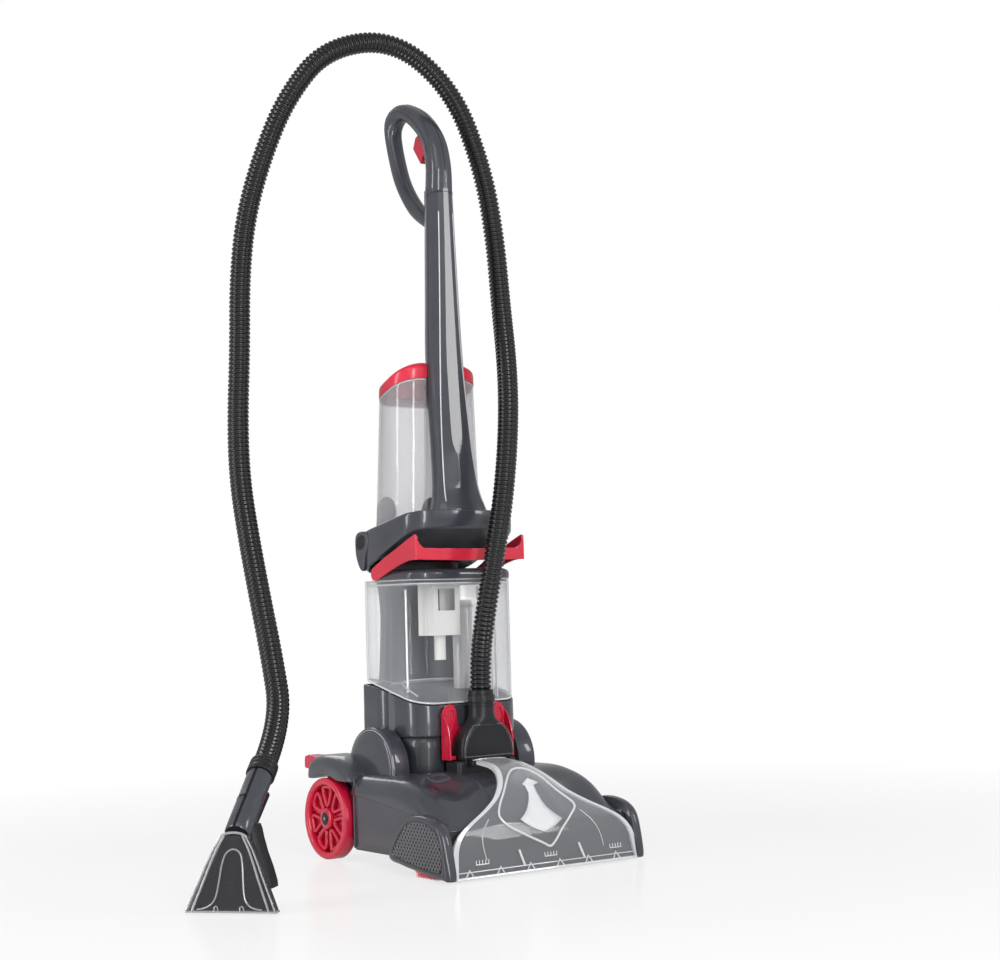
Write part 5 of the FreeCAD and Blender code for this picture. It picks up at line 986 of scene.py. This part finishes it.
vents = []
for z in range(150, 204, 9):
    vents.append(block(-29.5, 29.5, 120.4, 121.2, z - 1.6, z))
    vents.append(block(-28, 28, 119.2, 121.25, z + 0.2, z + 3.8))
piece("rear_vents", vents, black_plastic, "tower", bevel=0.3)
switch_frame = stack([
    [(40 + sx * w, y, 178 + sz * h) for sx, sz in ((-1, -1), (1, -1), (1, 1), (-1, 1))]
    for w, h, y in ((11.5, 12.5, 120.8), (11.5, 12.5, 122.2), (9.6, 10.4, 122.2),
                    (9.6, 10.4, 120.9))
])
gland = turned([(4.2, 121), (8.6, 121), (8.6, 124), (6.6, 125), (6.6, 128), (5.6, 128.4),
                (5.6, 132.6), (4.2, 133)], (-40, 0, 165), "Y", 32, closed=True)
piece("switch_frame", [switch_frame], black_plastic, "tower", bevel=0.5)
piece("lead_gland", [gland], black_plastic, "tower")
rocker = slab([(117.6, 170.4), (121.4, 170.4), (122.9, 171.4), (122.0, 178), (123.6, 184.8),
               (122.4, 185.8), (117.6, 185.8)], "YZ", 33.2, 46.8)
piece("switch_rocker", [rocker], red_plastic, "switch", ["power_switch"], bevel=0.6)

# ---------------------------------------------------------------- spine
# The back spine is a grey plastic moulding that stands behind the dirty water tank and is
# narrowest at its waist. Its rear face is gently crowned and has four upright ribs.
SPINE = [(235.4, 61), (238, 61.4), (262, 60), (295, 57.6), (330, 56.4), (360, 58.6), (385, 64),
         (401, 70), (403.6, 70.4)]
spine_rings = []
for z, half in SPINE:
    ring = []
    for k in range(13):
        t = -1 + k / 6
        ring.append((t * half, 121 - 5.2 * abs(t) ** 4 - 1.2 * t * t, z))
    for k in range(13):
        t = 1 - k / 6
        ring.append((t * (half - 0.6), 96.6 + 3 * abs(t) ** 6, z))
    spine_rings.append(ring)
spine_ribs = [block(x - 2, x + 2, 120, 122, 250, 392) for x in (-30, -10, 10, 30)]
piece("back_spine", [stack(spine_rings)], grey_plastic, "tower", ["spine"],
      sharp=48)
piece("back_spine_ribs", spine_ribs, grey_plastic, "tower", bevel=0.9, segments=3)

# ---------------------------------------------------------------- dirty water tank
# A deep clear moulding with rounded corners stands on the sloping deck of the casing. Inside it
# are a standpipe, a pair of rods and four flutes, beside the white float cage.
TANK_HALF, TANK_FRONT, TANK_REAR, TANK_RIM = 86, -20, 113, 377.6


def tank_floor(y):
    """Height of the dirty tank's sloping floor."""
    return 207.9 + 28 * min(max((y + 20) / 117, 0), 1.15)


def tank_plan(inset, height):
    """Outline of the dirty tank: round front corners, and two rear wings beside the spine."""
    half, front, rear = TANK_HALF - inset, TANK_FRONT + inset, TANK_REAR - inset
    corner = 32 - inset
    plan = []
    for cx, cy, start, r in (
        (half - corner, front + corner, -90, corner), (half - 9, rear - 9, 0, 9),
        (74 + inset, rear - 7, 90, 7), (59 + inset, 96 - inset, 0, -5),
        (-59 - inset, 96 - inset, 90, -5), (-74 - inset, rear - 7, 0, 7),
        (-half + 9, rear - 9, 90, 9), (-half + corner, front + corner, 180, corner),
    ):
        if r > 0:
            plan += quarter(cx, cy, r, start, 6)
            continue
        for step in range(7):
            a = math.radians(start + 270 - 90 * step / 6)
            a = math.pi - a if cx > 0 else -a - math.pi / 2
            plan.append((cx - r * math.cos(a), cy + r - r * math.sin(a)))
    return [(x, y, height(y)) for x, y in plan]


tank_plastic = clear("tank_plastic", (0.50, 0.51, 0.55), face=0.05, edge=0.72)
frosted_pipe = clear("frosted_pipe", (0.90, 0.90, 0.92), face=0.50, edge=0.90, roughness=0.2)


def raised(share, top):
    """Height function that runs from the tank's sloping floor up to a level."""
    return lambda y: tank_floor(y) + share * (top - tank_floor(y))


tank_rings = [tank_plan(inset, raised(share, TANK_RIM)) for share, inset in (
    (0, 3), (0.006, 1.4), (0.02, 0.2), (0.25, 0), (0.5, 0), (0.75, 0), (1, 0))]
piece("dirty_tank_shell", [stack(tank_rings, caps=(True, False))], tank_plastic,
      "dirty_tank", ["recovery_tank"], thickness=2.4)
# The pale rings at the rim and the floor paint the highlight on the tank's clear edges; the
# flutes, rods and inner arch are real parts drawn in the same painted-highlight finish.
tank_trim = [
    tube_shape(tank_plan(1.5, lambda y: 371), 1.2, closed=True),
    tube_shape(tank_plan(1.4, lambda y: 376.6), 1.1, closed=True),
    tube_shape(tank_plan(1.4, lambda y: tank_floor(y) + 1.6), 1.4, closed=True),
]
tank_trim += [block(x - 0.9, x + 0.9, -17.4, -12.6, 214, 366) for x in (20, 27, 41, 48)]
tank_trim += [tube_shape([(x, y, z) for z in range(224, 368, 4)], 1.5)
              for x, y in ((-62, 40), (-66, 34))]
tank_trim.append(tube_shape(
    [(-74, -2, 220), (-70, 30, 229), (-60, 60, 236), (-40, 76, 238), (0, 80, 238.6),
     (40, 76, 238), (60, 60, 236), (70, 30, 229), (74, -2, 220)], 1.1))
piece("dirty_tank_trim", tank_trim, polished_painted_highlight, "dirty_tank")
pipe = turned([(14, tank_floor(44) + 2), (14, 346.5), (13, 348), (11.6, 348), (11.6, 226)],
              (34, 44, 0), "Z", 48)
pipe_ring = turned([(16.5, 338), (16.5, 341), (14, 341), (14, 338)], (34, 44, 0), "Z", 48,
                   closed=True)
piece("dirty_tank_standpipe", [pipe, pipe_ring], frosted_pipe, "dirty_tank")

# ---------------------------------------------------------------- dirty tank lid
# The dark moulded lid snaps over the tank's rim on a rubber seal and carries the bail's two
# pins. Its rounded shoulder rises to a flat top that dips a little inside a narrow border.
LID = [  # half width, height and corner radius
    (83.4, 376.4, 30), (85.4, 377.4, 31.4), (86, 379.2, 32), (86, 383.6, 32),
    (85.2, 386.6, 31.2), (83, 389, 29.2), (79, 390.6, 26), (73, 391.3, 22), (58, 391.3, 14),
    (56, 389.6, 13), (20, 389.6, 8),
]
LID_HALF, LID_FRONT, LID_REAR = 86, -21, 95
tank_lid = [stack([
    rounded(half, LID_FRONT + (LID_HALF - half), LID_REAR - (LID_HALF - half), corner, z, 8)
    for half, z, corner in LID
])]
LID_PIN = [(0.01, 84), (3.6, 84), (3.6, 86.4), (2.9, 86.6), (2.9, 90.2), (0.01, 90.5)]
tank_lid += [turned([(r, sign * x) for r, x in LID_PIN], (0, 76, 386), "X", 24)
             for sign in (-1, 1)]
piece("dirty_tank_lid", tank_lid, grey_plastic, "dirty_tank", ["tank_lid"],
      sharp=46)

# ---------------------------------------------------------------- bail of the dirty tank
# The red bail is one springy moulding: two broad arms turn on the lid's pins and a slightly bowed
# front bar joins them. Each front corner rises to a small peak.
coral_plastic = moulded("coral_plastic", (0.58, 0.018, 0.045), roughness=0.36, coat=0.3,
                        mottle=0.05)
ARM = [(-31, 402.4), (-31, 428), (-30.4, 434), (-28, 437), (-24, 435.6), (-10, 430.6),
       (20, 419), (50, 408), (70, 399), (80, 394.6), (83.6, 390), (83.8, 383.6), (80, 378.6),
       (75, 377.2), (68, 378.8), (40, 388.4), (10, 397.4), (-8, 401.4), (-20, 402.6)]
bail = [slab(ARM, "YZ", sign * 86.4, sign * 90.4) for sign in (-1, 1)]
BAIL_HALF = 90.3
bar_rings = []
for k in range(-24, 25):
    x = BAIL_HALF * k / 24
    near = abs(x) / BAIL_HALF
    top = 417.6 + 1.2 * near ** 2 + 17.5 * max(0, (abs(x) - 76) / 14.3) ** 1.8
    low = 403 - 1.6 * (1 - near ** 2)
    bow = -30.9 - 1.6 * (1 - near ** 2)
    bar_rings.append([(x, bow, low), (x, bow, (low + top) / 2), (x, bow, top),
                      (x, bow + 4, top), (x, bow + 4, (low + top) / 2), (x, bow + 4, low)])
bail.append(stack(bar_rings))
piece("bail_moulding", bail, coral_plastic, "bail", ["bail_handle"], bevel=1.1,
      segments=3)

# ---------------------------------------------------------------- collar
# The grey collar is the shelf for the clean water tank: a broad band that slopes down towards the
# rear, a dark cone under it, a lug at the left rear, two tongues that guide the tank and a dock
# for its valve.
def low_edge(y, top=447, fall=46):
    """Height of the band's lower edge, which falls towards the rear."""
    return top - fall * (min(max(y, -26), 122) + 26) / 116


def high_edge(y):
    """Height of the band's upper edge."""
    return low_edge(y, 471, 22)


def offset_edge(edge, by, floor=0):
    """Height function that runs beside an edge and stays above a floor."""
    return lambda y: max(edge(y) + by, floor)


def middle_edge(y):
    """Height half way up the band."""
    return (low_edge(y) + high_edge(y)) / 2


BAND = [  # half width, front, rear, corner radius and height
    (85, -21, 121.4, 33, offset_edge(low_edge, -1.6)),
    (88.4, -24.4, 121.8, 34, offset_edge(low_edge, -0.6)),
    (89.6, -25.6, 122, 34.6, offset_edge(low_edge, 1.8)), (90, -26, 122, 35, middle_edge),
    (89.8, -25.8, 122, 35, offset_edge(high_edge, -5)),
    (89.4, -25.4, 121.8, 34.6, offset_edge(high_edge, -1.4)),
    (88.2, -24.2, 121.6, 33.6, offset_edge(high_edge, -0.2)),
    (86.4, -22.4, 121, 32.6, offset_edge(high_edge, -0.4)),
    (85.4, -21.4, 120.6, 32, offset_edge(high_edge, -2)),
    (84.6, -20, 120.2, 31.4, offset_edge(low_edge, 4, 427.4)), (76.6, 20, 119.8, 30, 426.8),
]
CONE = [
    (58, 30, 120.6, 24, 404.4), (63, 24, 121, 28, 405.4),
    (72, 4, 121.2, 30, offset_edge(low_edge, -17, 408)),
    (80, -12, 121.3, 32, offset_edge(low_edge, -6, 405)),
    (85.2, -21.2, 121.4, 33, offset_edge(low_edge, -1.5)),
]
cone_plastic = moulded("cone_plastic", (0.040, 0.041, 0.047), roughness=0.40, coat=0.5)
piece("collar_band", [stack([rounded(*row) for row in BAND], caps=(False, True))], grey_plastic,
      "tower", ["collar"], sharp=44)
piece("collar_cone", [stack([rounded(*row) for row in CONE], caps=(True, False))], cone_plastic,
      "tower", sharp=50)
LUG = [(92, 444), (110, 447), (121.6, 440), (121.8, 418), (116, 402), (108, 392.6), (102, 394),
       (98, 410), (91, 424)]
# A thin black plate on the lug's outer face stands for its hollow: painted shade.
LUG_HOLLOW_SHADE = [(98, 439), (108, 442), (117, 436), (117, 424), (106, 422), (98, 428)]
lug = slab(closed_curve(LUG, 4), "YZ", -91, -84)
lug_hollow_shade = slab(closed_curve(LUG_HOLLOW_SHADE, 4), "YZ", -91.4, -90.6)
piece("collar_lug", [lug], grey_plastic, "tower", bevel=1.8, segments=3)
piece("collar_lug_hollow_shade", [lug_hollow_shade], black_plastic, "tower")
TONGUE = [(-16.5, 438), (-16.5, 470), (-15, 484), (-9, 494), (0, 497.6), (9, 494), (15, 484),
          (16.5, 470), (16.5, 438), (0, 434)]
tongues = [slab([(middle + x, z) for x, z in closed_curve(TONGUE, 4)], "XZ", 119.4, 122)
           for middle in (-38, 38)]
piece("collar_tongues", tongues, grey_plastic, "tower", bevel=0.7)
dock = turned([(16, 426.4), (16, 429.4), (15, 430), (10.6, 430), (9.6, 427)], (0, 76, 0), "Z", 48)
piece("collar_dock", [dock], black_plastic, "tower")

# ---------------------------------------------------------------- handle column
# Two long satin shells make the column. Its front is faceted: a bright strip that narrows to a
# point near the foot, a sharp ridge on its left, and a saddle that flares out over the collar.
COLUMN = [  # height, half width, front, rear, ridge and half width of the flat front strip
    (449, 47, -25.6, 14, 34, 0.4), (458, 45, -25.8, 15, 33.4, 0.4),
    (468, 42, -25.2, 16, 32.6, 0.4), (474, 39.5, -23.8, 17, 31.8, 0.4),
    (482, 36.4, -21, 18.5, 30.6, 0.4), (491, 33.8, -17.4, 20, 29.4, 0.4),
    (502, 31.6, -14.2, 22, 28.2, 0.4), (516, 29.8, -11.6, 24.4, 27, 0.4),
    (540, 28.2, -8, 28, 25.4, 0.4), (548, 27.9, -7, 29, 24.9, 2.5),
    (562, 27.6, -5.4, 30, 24.2, 7.4), (574, 27.4, -4.2, 31, 23.6, 8.8),
    (620, 27, -0.6, 34.8, 21.4, 9), (690, 26.2, 3.4, 39.6, 17.6, 8.6),
    (770, 23.2, 5, 41.2, 14.8, 6.6), (850, 20.6, 6.4, 42.4, 12.6, 5),
    (900, 19, 7.4, 43, 11.6, 4.3), (924, 18.4, 8, 43.2, 11.2, 4),
]
column_tables = columns(COLUMN)
column_levels = [449, 453, 458, 463, 468, 471, 474, 478, 482, 486, 491, 496, 502, 509, 516, 528,
                 540, 544, 548, 555, 562, 568, 574, *range(590, 930, 20), 924]


def column_at(z):
    """Half width, front, rear, ridge and front strip half width at a height."""
    return [smooth_value(table, z) for table in column_tables]


column_rings = []
for z in column_levels:
    half, front, rear, ridge, strip = column_at(z)
    depth = rear - front
    side = [(strip, front), (ridge, front + 2.6), (half - 0.8, front + 2.6 + 0.9 * (half - ridge)),
            (half, front + 0.40 * depth), (half, front + 0.62 * depth),
            (half - 1.2, front + 0.74 * depth), (half - 5, rear - 1.4), (half - 8, rear)]
    column_rings.append([(x, y, z) for x, y in side] + [(-x, y, z) for x, y in reversed(side)])
piece("handle_column", [stack(column_rings)], grey_plastic, "tower",
      ["column_front", "column_rear"], sharp=7)
ridge_lines, seams = [], []
for sign in (-1, 1):
    ridge_line, seam_line = [], []
    for z in column_levels[6:]:
        half, front, rear, ridge = column_at(z)[:4]
        ridge_line.append((sign * ridge, front + 2.4, z))
        seam_line.append((sign * (half + 0.02), front + 0.5 * (rear - front), z))
    ridge_lines.append(tube_shape(ridge_line[2:-2], 0.9))
    seams.append(tube_shape(seam_line, 0.35, 6))
# The pale tubes along the column's two ridges are painted highlight.
piece("column_ridges", ridge_lines, painted_highlight_edge, "tower")
half, front, rear, ridge = column_at(915)[:4]
seams.append(tube_shape([
    (-half, rear - 12, 915), (-half, front + 11, 917), (-ridge, front, 919),
    (ridge, front, 919), (half, front + 11, 917), (half, rear - 12, 915),
], 0.4, 6))
piece("column_seams", seams, black_plastic, "tower")

# ---------------------------------------------------------------- loop grip
# The loop grip is moulded in one flow with the column's head: thick along the front and top, a
# slim strut at the rear, and a tall teardrop opening. A parting line runs round its middle.
GRIP_OUT = [(8.4, 921), (8.6, 960), (21, 1002), (53, 1040), (93, 1063), (123, 1067.6), (145, 1058),
            (151, 1036), (141, 990), (122, 944), (88, 899), (43.4, 869)]
GRIP_IN = [(43, 917), (41.5, 960), (50, 992), (74, 1020), (100, 1040), (114, 1043), (125, 1037),
           (129, 1024), (120, 990), (105, 954), (79, 920), (45, 890)]
GRIP_HALF = [18.4, 17, 15.8, 14.6, 14.2, 13.6, 13, 12.6, 12, 11.8, 11.6, 11.4]


def open_curve(points, steps):
    """Smooth line through points, with its two ends kept."""
    padded = [points[0], *points, points[-1]]
    line = []
    for i in range(len(points) - 1):
        line += [curve_point(*padded[i:i + 4], step / steps) for step in range(steps)]
    return [*line, points[-1]]


grip_stations = open_curve([(*o, *i, w) for o, i, w in zip(GRIP_OUT, GRIP_IN, GRIP_HALF)], 7)
grip_rings = []
for oy, oz, iy, iz, w in grip_stations:
    ring = []
    for c, s in around(28):
        along = math.copysign(abs(c) ** 0.80, c)
        ring.append((math.copysign(abs(s) ** 0.72, s) * w, (oy + iy) / 2 + along * (oy - iy) / 2,
                     (oz + iz) / 2 + along * (oz - iz) / 2))
    grip_rings.append(ring)
piece("loop_grip", [stack(grip_rings)], grey_plastic, "tower",
      ["grip_left", "grip_right"], sharp=60)
grip_seam = [tube_shape([(0, oy, oz) for oy, oz, iy, iz, w in grip_stations], 0.45, 6),
             tube_shape([(0, iy, iz) for oy, oz, iy, iz, w in grip_stations[4:-2]], 0.45, 6)]
for sign in (-1, 1):
    grip_seam.append(tube_shape([
        (sign * (w + 0.02), (oy + iy) / 2, (oz + iz) / 2)
        for oy, oz, iy, iz, w in grip_stations[10:38]
    ], 0.4, 6))
piece("loop_grip_seam", grip_seam, black_plastic, "tower")

# ---------------------------------------------------------------- clean water tank
# A tall clear plastic bottle with a hollow down its front for the column stands in the collar.
# Its mouth slopes down to the rear and takes the red lid.
GROOVE = [(425, 36, 2.6), (470, 36, 6), (530, 32, 12), (590, 29.6, 16), (722, 27, 17)]
groove_wide, groove_deep = columns(GROOVE)
FRESH_FLOOR, FRESH_TALL = 430.4, 228


def fresh_plan(z, inset):
    """Outline of the clean tank at a height, moved inwards by a margin, as (X, Y) points."""
    share = (z - 430) / 232
    half = 74 - 7 * share - inset
    front, rear = 26 + inset, 118 - 7 * share - inset
    corner = 34 - inset
    wide, deep = smooth_value(groove_wide, z) + inset, smooth_value(groove_deep, z)
    plan = []
    for k in range(17):
        t = -1 + k / 8
        edge = 1 - abs(t) ** 5
        plan.append((t * wide, front + deep * edge))
    for way, cy, start in ((1, front + corner, -90), (1, rear - corner, 0),
                           (-1, rear - corner, 90), (-1, front + corner, 180)):
        plan += quarter(way * (half - corner), cy, corner, start, 8)
    return plan


def mouth(y):
    """Height of the clean tank's sloping mouth."""
    return 665.5 - 32 * (y - 26) / 92


bottle_plastic = clear("bottle_plastic", (0.52, 0.52, 0.55), face=0.20, edge=0.75)
fresh_rings = []
for share, inset in ((0, 4), (0.004, 1.6), (0.012, 0.4), (0.03, 0), (0.2, 0), (0.4, 0), (0.6, 0),
                     (0.8, 0), (0.93, 0), (1, 0)):
    fresh_rings.append([(x, y, FRESH_FLOOR + share * (mouth(y) - 0.4 - FRESH_FLOOR))
                        for x, y in fresh_plan(FRESH_FLOOR + share * FRESH_TALL, inset)])
piece("clean_tank_shell", [stack(fresh_rings, caps=(True, False))], bottle_plastic,
      "fresh_tank", ["clean_tank"], thickness=2.3)
# The pale rings near the mouth and at the floor paint the highlight on the clear edges.
fresh_trim = [
    tube_shape([(x, y, mouth(y) - 10.6) for x, y in fresh_plan(655, 0.5)], 0.7, closed=True),
    tube_shape([(x, y, 432.2) for x, y in fresh_plan(432, 1.4)], 1.2, closed=True),
]
piece("clean_tank_trim", fresh_trim, polished_painted_highlight, "fresh_tank")
boss = turned([(10.6, 432), (10.6, 451), (9.6, 451), (9.6, 432)], (0, 76, 0), "Z", 32, closed=True)
piece("clean_tank_boss", [boss], frosted_pipe, "fresh_tank")

# ---------------------------------------------------------------- clean tank lid
# The coral red lid is a thin domed moulding, thick at the front and tapering to a low tip at the
# rear, with a square well under it that hangs into the tank.
SKIRT = 9.0
DOME = [(1, 0.6 - SKIRT), (1, 4), (0.99, 7), (0.95, 10.6), (0.88, 14.2), (0.78, 17),
        (0.62, 19.4), (0.42, 20.8), (0.2, 21.4)]
cap_rings = [[(x, y, mouth(y) + lift) for x, y in fresh_plan(660, inset)]
             for inset, lift in ((-0.15, 0.1), (-0.15, 0.4 - SKIRT), (-0.7, -SKIRT))]
for size, rise in DOME:
    ring = []
    for x, y in fresh_plan(660, -1.0):
        place = 72 + (y - 72) * size
        slim = 1 - 0.5 * min(max((place - 40) / 74, 0), 1)
        ring.append((x * size, place, mouth(place) + rise * slim))
    cap_rings.append(ring)
rose_well = clear("rose_well", (0.52, 0.34, 0.37), face=0.26, edge=0.6, roughness=0.25)
well = stack([rounded(52 - g, 56 + g, 103 - g, 12, lambda y, z=z: min(z, mouth(y) + 2))
              for z, g in ((626.4, 3), (628, 0.6), (631, 0), (662, 0))])
piece("clean_lid_moulding", [stack(cap_rings)], coral_plastic, "fresh_tank",
      ["clean_lid"], sharp=50)
piece("clean_lid_well", [well], rose_well, "fresh_tank", sharp=50)

# ---------------------------------------------------------------- hand tool
# The hand tool stands on the floor at the hose's end. A flat clear hood with thick polished edges,
# drawn as pale tubes of painted highlight, sits in front of a black head; the grip is two grey
# halves with a dark parting strip.
TOOL_X, TOOL_Y, TOOL_TURN = -454.7, -187.1, math.radians(-49)


def tool_spot(x, y, z):
    """Point of the hand tool, turned and moved to where the tool stands."""
    c, s = math.cos(TOOL_TURN), math.sin(TOOL_TURN)
    return TOOL_X + x * c - y * s, TOOL_Y + x * s + y * c, z


def placed(shape):
    """Shape in the hand tool's own place."""
    return [tool_spot(*v) for v in shape[0]], shape[1]


HOOD_TOP = 86
HOOD_RINGS = [  # height, half width, front and rear
    (0.4, 55.6, -3, 10), (3, 54.4, -2.8, 10.2), (10, 51.6, -2, 11), (24, 45.4, 0, 12.8),
    (40, 38.4, 2.4, 15.4), (56, 31.6, 5, 18), (70, 25, 7.6, 21), (80, 19, 9.6, 24.4),
    (HOOD_TOP, 15.4, 11, 27),
]
hood_half, hood_front = columns(HOOD_RINGS)[:2]
tool_clear = clear("tool_clear", (0.035, 0.035, 0.04), face=0.42, edge=0.66)
# Paler clear finish for the hood's edge tubes and arches: painted highlight.
tool_edge_painted_highlight = clear("tool_edge_painted_highlight", (0.50, 0.50, 0.53), face=0.50, edge=0.88)
hood_shape = stack([rounded(h, y0, y1, 3.4, z, 4) for z, h, y0, y1 in HOOD_RINGS],
                   caps=(False, False))
piece("tool_hood_shell", [placed(hood_shape)], tool_clear, "base", ["tool_hood"],
      thickness=2)

tool_rim = []
for sign in (-1, 1):
    for inset, radius in ((1.4, 0.9), (9, 1.3)):
        line = []
        for k in range(30):
            z = 0.9 + 84.4 * k / 29
            share = 1 if inset < 5 else 0.55 + 0.45 * (HOOD_TOP - z) / HOOD_TOP
            line.append(tool_spot(sign * (smooth_value(hood_half, z) - inset * share),
                                  smooth_value(hood_front, z) - 0.2, z))
        tool_rim.append(tube_shape(line, radius))
ARCH = [(-40, 4), (-33, 5), (-24, 9), (-18, 17), (-14.6, 34), (-12, 52), (-8.4, 64), (-2, 69.6),
        (5, 69.4), (10.4, 64), (13, 52), (14.6, 34), (17, 17), (22, 9), (30, 5), (38, 4)]
tool_rim.append(tube_shape([tool_spot(x, smooth_value(hood_front, z) - 0.3, z)
                            for x, z in open_curve(ARCH, 4)], 1.0))
tool_rim.append(tube_shape([tool_spot(*p) for p in rounded(55, -2.6, 9.6, 3.4, 1.3, 4)], 1.2,
                           closed=True))
crown = [math.pi * k / 12 for k in range(13)]
tool_rim.append(tube_shape([tool_spot(-16 * math.cos(a), 10.4, 82 + 6.4 * math.sin(a))
                            for a in crown], 1.5))
for middle in (-17, 14):
    tool_rim.append(tube_shape([tool_spot(middle + x, -3, z) for x, z in (
        (-2.4, 1.6), (-2, 6.4), (0, 8), (2, 6.4), (2.4, 1.6))], 0.9))
piece("tool_hood_edges", tool_rim, tool_edge_painted_highlight, "base")

HEAD = [  # height, half width, front and rear
    (24.3, 42, 15.6, 46), (30, 41, 16.4, 47.6), (46, 35, 20, 51), (62, 27.6, 23.6, 54.6),
    (78, 21.6, 27.6, 58.4), (88, 18.6, 30, 61), (93.6, 16.4, 31.6, 61),
]
head_shape = stack([rounded(h, y0, y1, 6, z, 5) for z, h, y0, y1 in HEAD])
back_plate = stack([[(-51, low, 1.4), (51, low, 1.4), (17, high, 80), (-17, high, 80)]
                    for low, high in ((11.4, 25), (14.8, 29))])
piece("tool_head_moulding", [placed(head_shape), placed(back_plate)], black_plastic,
      "base", ["tool_head"], sharp=42)

GRIP_START, GRIP_END, GRIP_LONG = (22, 84), (99, 143), 97.0


def grip_spot(along, across, up):
    """Point of the hand grip: distance along its axis, sideways, and out from the axis."""
    ax, az = (GRIP_END[0] - GRIP_START[0]) / GRIP_LONG, (GRIP_END[1] - GRIP_START[1]) / GRIP_LONG
    return tool_spot(across, GRIP_START[0] + along * ax - up * az,
                     GRIP_START[1] + along * az + up * ax)


GRIP_RADII = [(0.5, 14.2), (2, 15.2), (30, 15.5), (50, 15.3), (52, 15.9), (54, 15.3), (76, 15.4),
              (90, 15.5), (96.4, 15.3)]
half_turn = [math.radians(7 + 158 * k / 12) for k in range(13)]
for side_name, sign, node in (("left", -1, "tool_grip_left"), ("right", 1, "tool_grip_right")):
    rings = [
        [grip_spot(along, sign * r * math.sin(a), r * math.cos(a))
         for r, angles in ((radius, half_turn), (radius - 2.4, half_turn[::-1])) for a in angles]
        for along, radius in GRIP_RADII
    ]
    piece("tool_grip_" + side_name + "_half", [stack(rings)], grey_plastic,
                            "base", [node], sharp=50)
core = stack([[grip_spot(along, r * s, r * c) for c, s in around(32)]
              for along, r in ((0.2, 10), (0.4, 14.1), (96.8, 14.1), (97, 10))])
slit = stack([[grip_spot(50 + da, x, u) for x, u in ((-10, 12), (-8, 14.6), (0, 16.6), (0, 13))]
              for da in (0, 2.2)])
tool_core = piece("tool_grip_core", [core, slit], black_plastic, "base", sharp=50)
CUFF = [(97.4, 12.6), (97.4, 17), (98.4, 17.5), (104, 17.5), (105, 16.9), (107, 16.9),
        (108, 17.5), (110, 17.5), (111, 16.9), (113, 16.9), (114, 17.5), (117.6, 17.2),
        (119.2, 15.8), (119.3, 14.2)]
cuff = stack([[grip_spot(along, r * s, r * c) for c, s in around(40)] for along, r in CUFF],
             caps=(False, False))
tool_cuff = piece("tool_cuff_moulding", [cuff], black_plastic, "base",
                  ["tool_cuff"], sharp=40)

# ---------------------------------------------------------------- inner works and small parts
# The motors, fan, pump, belt, brushes, axle, screws and valve keep their machined shapes. Each
# gets the finish of its own stuff: iron, aluminium, steel, rubber, nylon or white plastic.
def metal(name, colour, low_gloss, high_gloss, grain_scale, stretch=(1, 1, 1)):
    """Bare metal with a fine machined grain in its tone and gloss."""
    material, tree, shader = new_material(name, Metallic=1)
    place = add_node(tree, "TexCoord").outputs["Object"]
    place = add_node(tree, "Mapping", {"Vector": place}, Scale=stretch).outputs["Vector"]
    grain = add_node(tree, "TexNoise", {"Vector": place}, Scale=grain_scale).outputs["Fac"]
    tone = add_tone(tree, grain, [c * 0.8 for c in colour], [min(1, c * 1.1) for c in colour])
    feed(tree, shader, Base_Color=tone, Roughness=add_range(tree, grain, low_gloss, high_gloss))
    return material


motor_iron = metal("motor_iron", (0.20, 0.20, 0.21), 0.40, 0.60, 300)
fan_aluminium = metal("fan_aluminium", (0.70, 0.71, 0.72), 0.22, 0.40, 240, (1, 6, 1))
black_rubber = moulded("black_rubber", (0.016, 0.016, 0.017), roughness=0.62, grain=0.3,
                       grain_scale=900)
white_plastic = moulded("white_plastic", (0.84, 0.84, 0.82), roughness=0.42, mottle=0.03)
brush_plastic = moulded("brush_plastic", (0.62, 0.03, 0.07), roughness=0.45, mottle=0.08)
for finish, names in (
    (grey_plastic, ("base_chassis", "cord_hook")),
    (black_plastic, ("nozzle_back", "brush_guides", "spray_bar", "motor_pulley", "crank_pulley",
                     "motor_mount", "water_pump", "tank_valve", "tool_lever")),
    (red_plastic, ("grip_trigger",)),
    (white_plastic, ("float_cage", "float", "fan_case")),
    (brush_plastic, ("brush_outer", "brush_inner")),
    (black_rubber, ("drive_belt", "lid_gasket")),
    (motor_iron, ("brush_motor", "suction_motor")),
    (fan_aluminium, ("suction_fan",)),
    (steel, ("wheel_axle", "base_screws", "pedal_pin", "recline_pins", "trigger_rod")),
):
    for name in names:
        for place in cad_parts[name].material_slots:
            place.material = finish
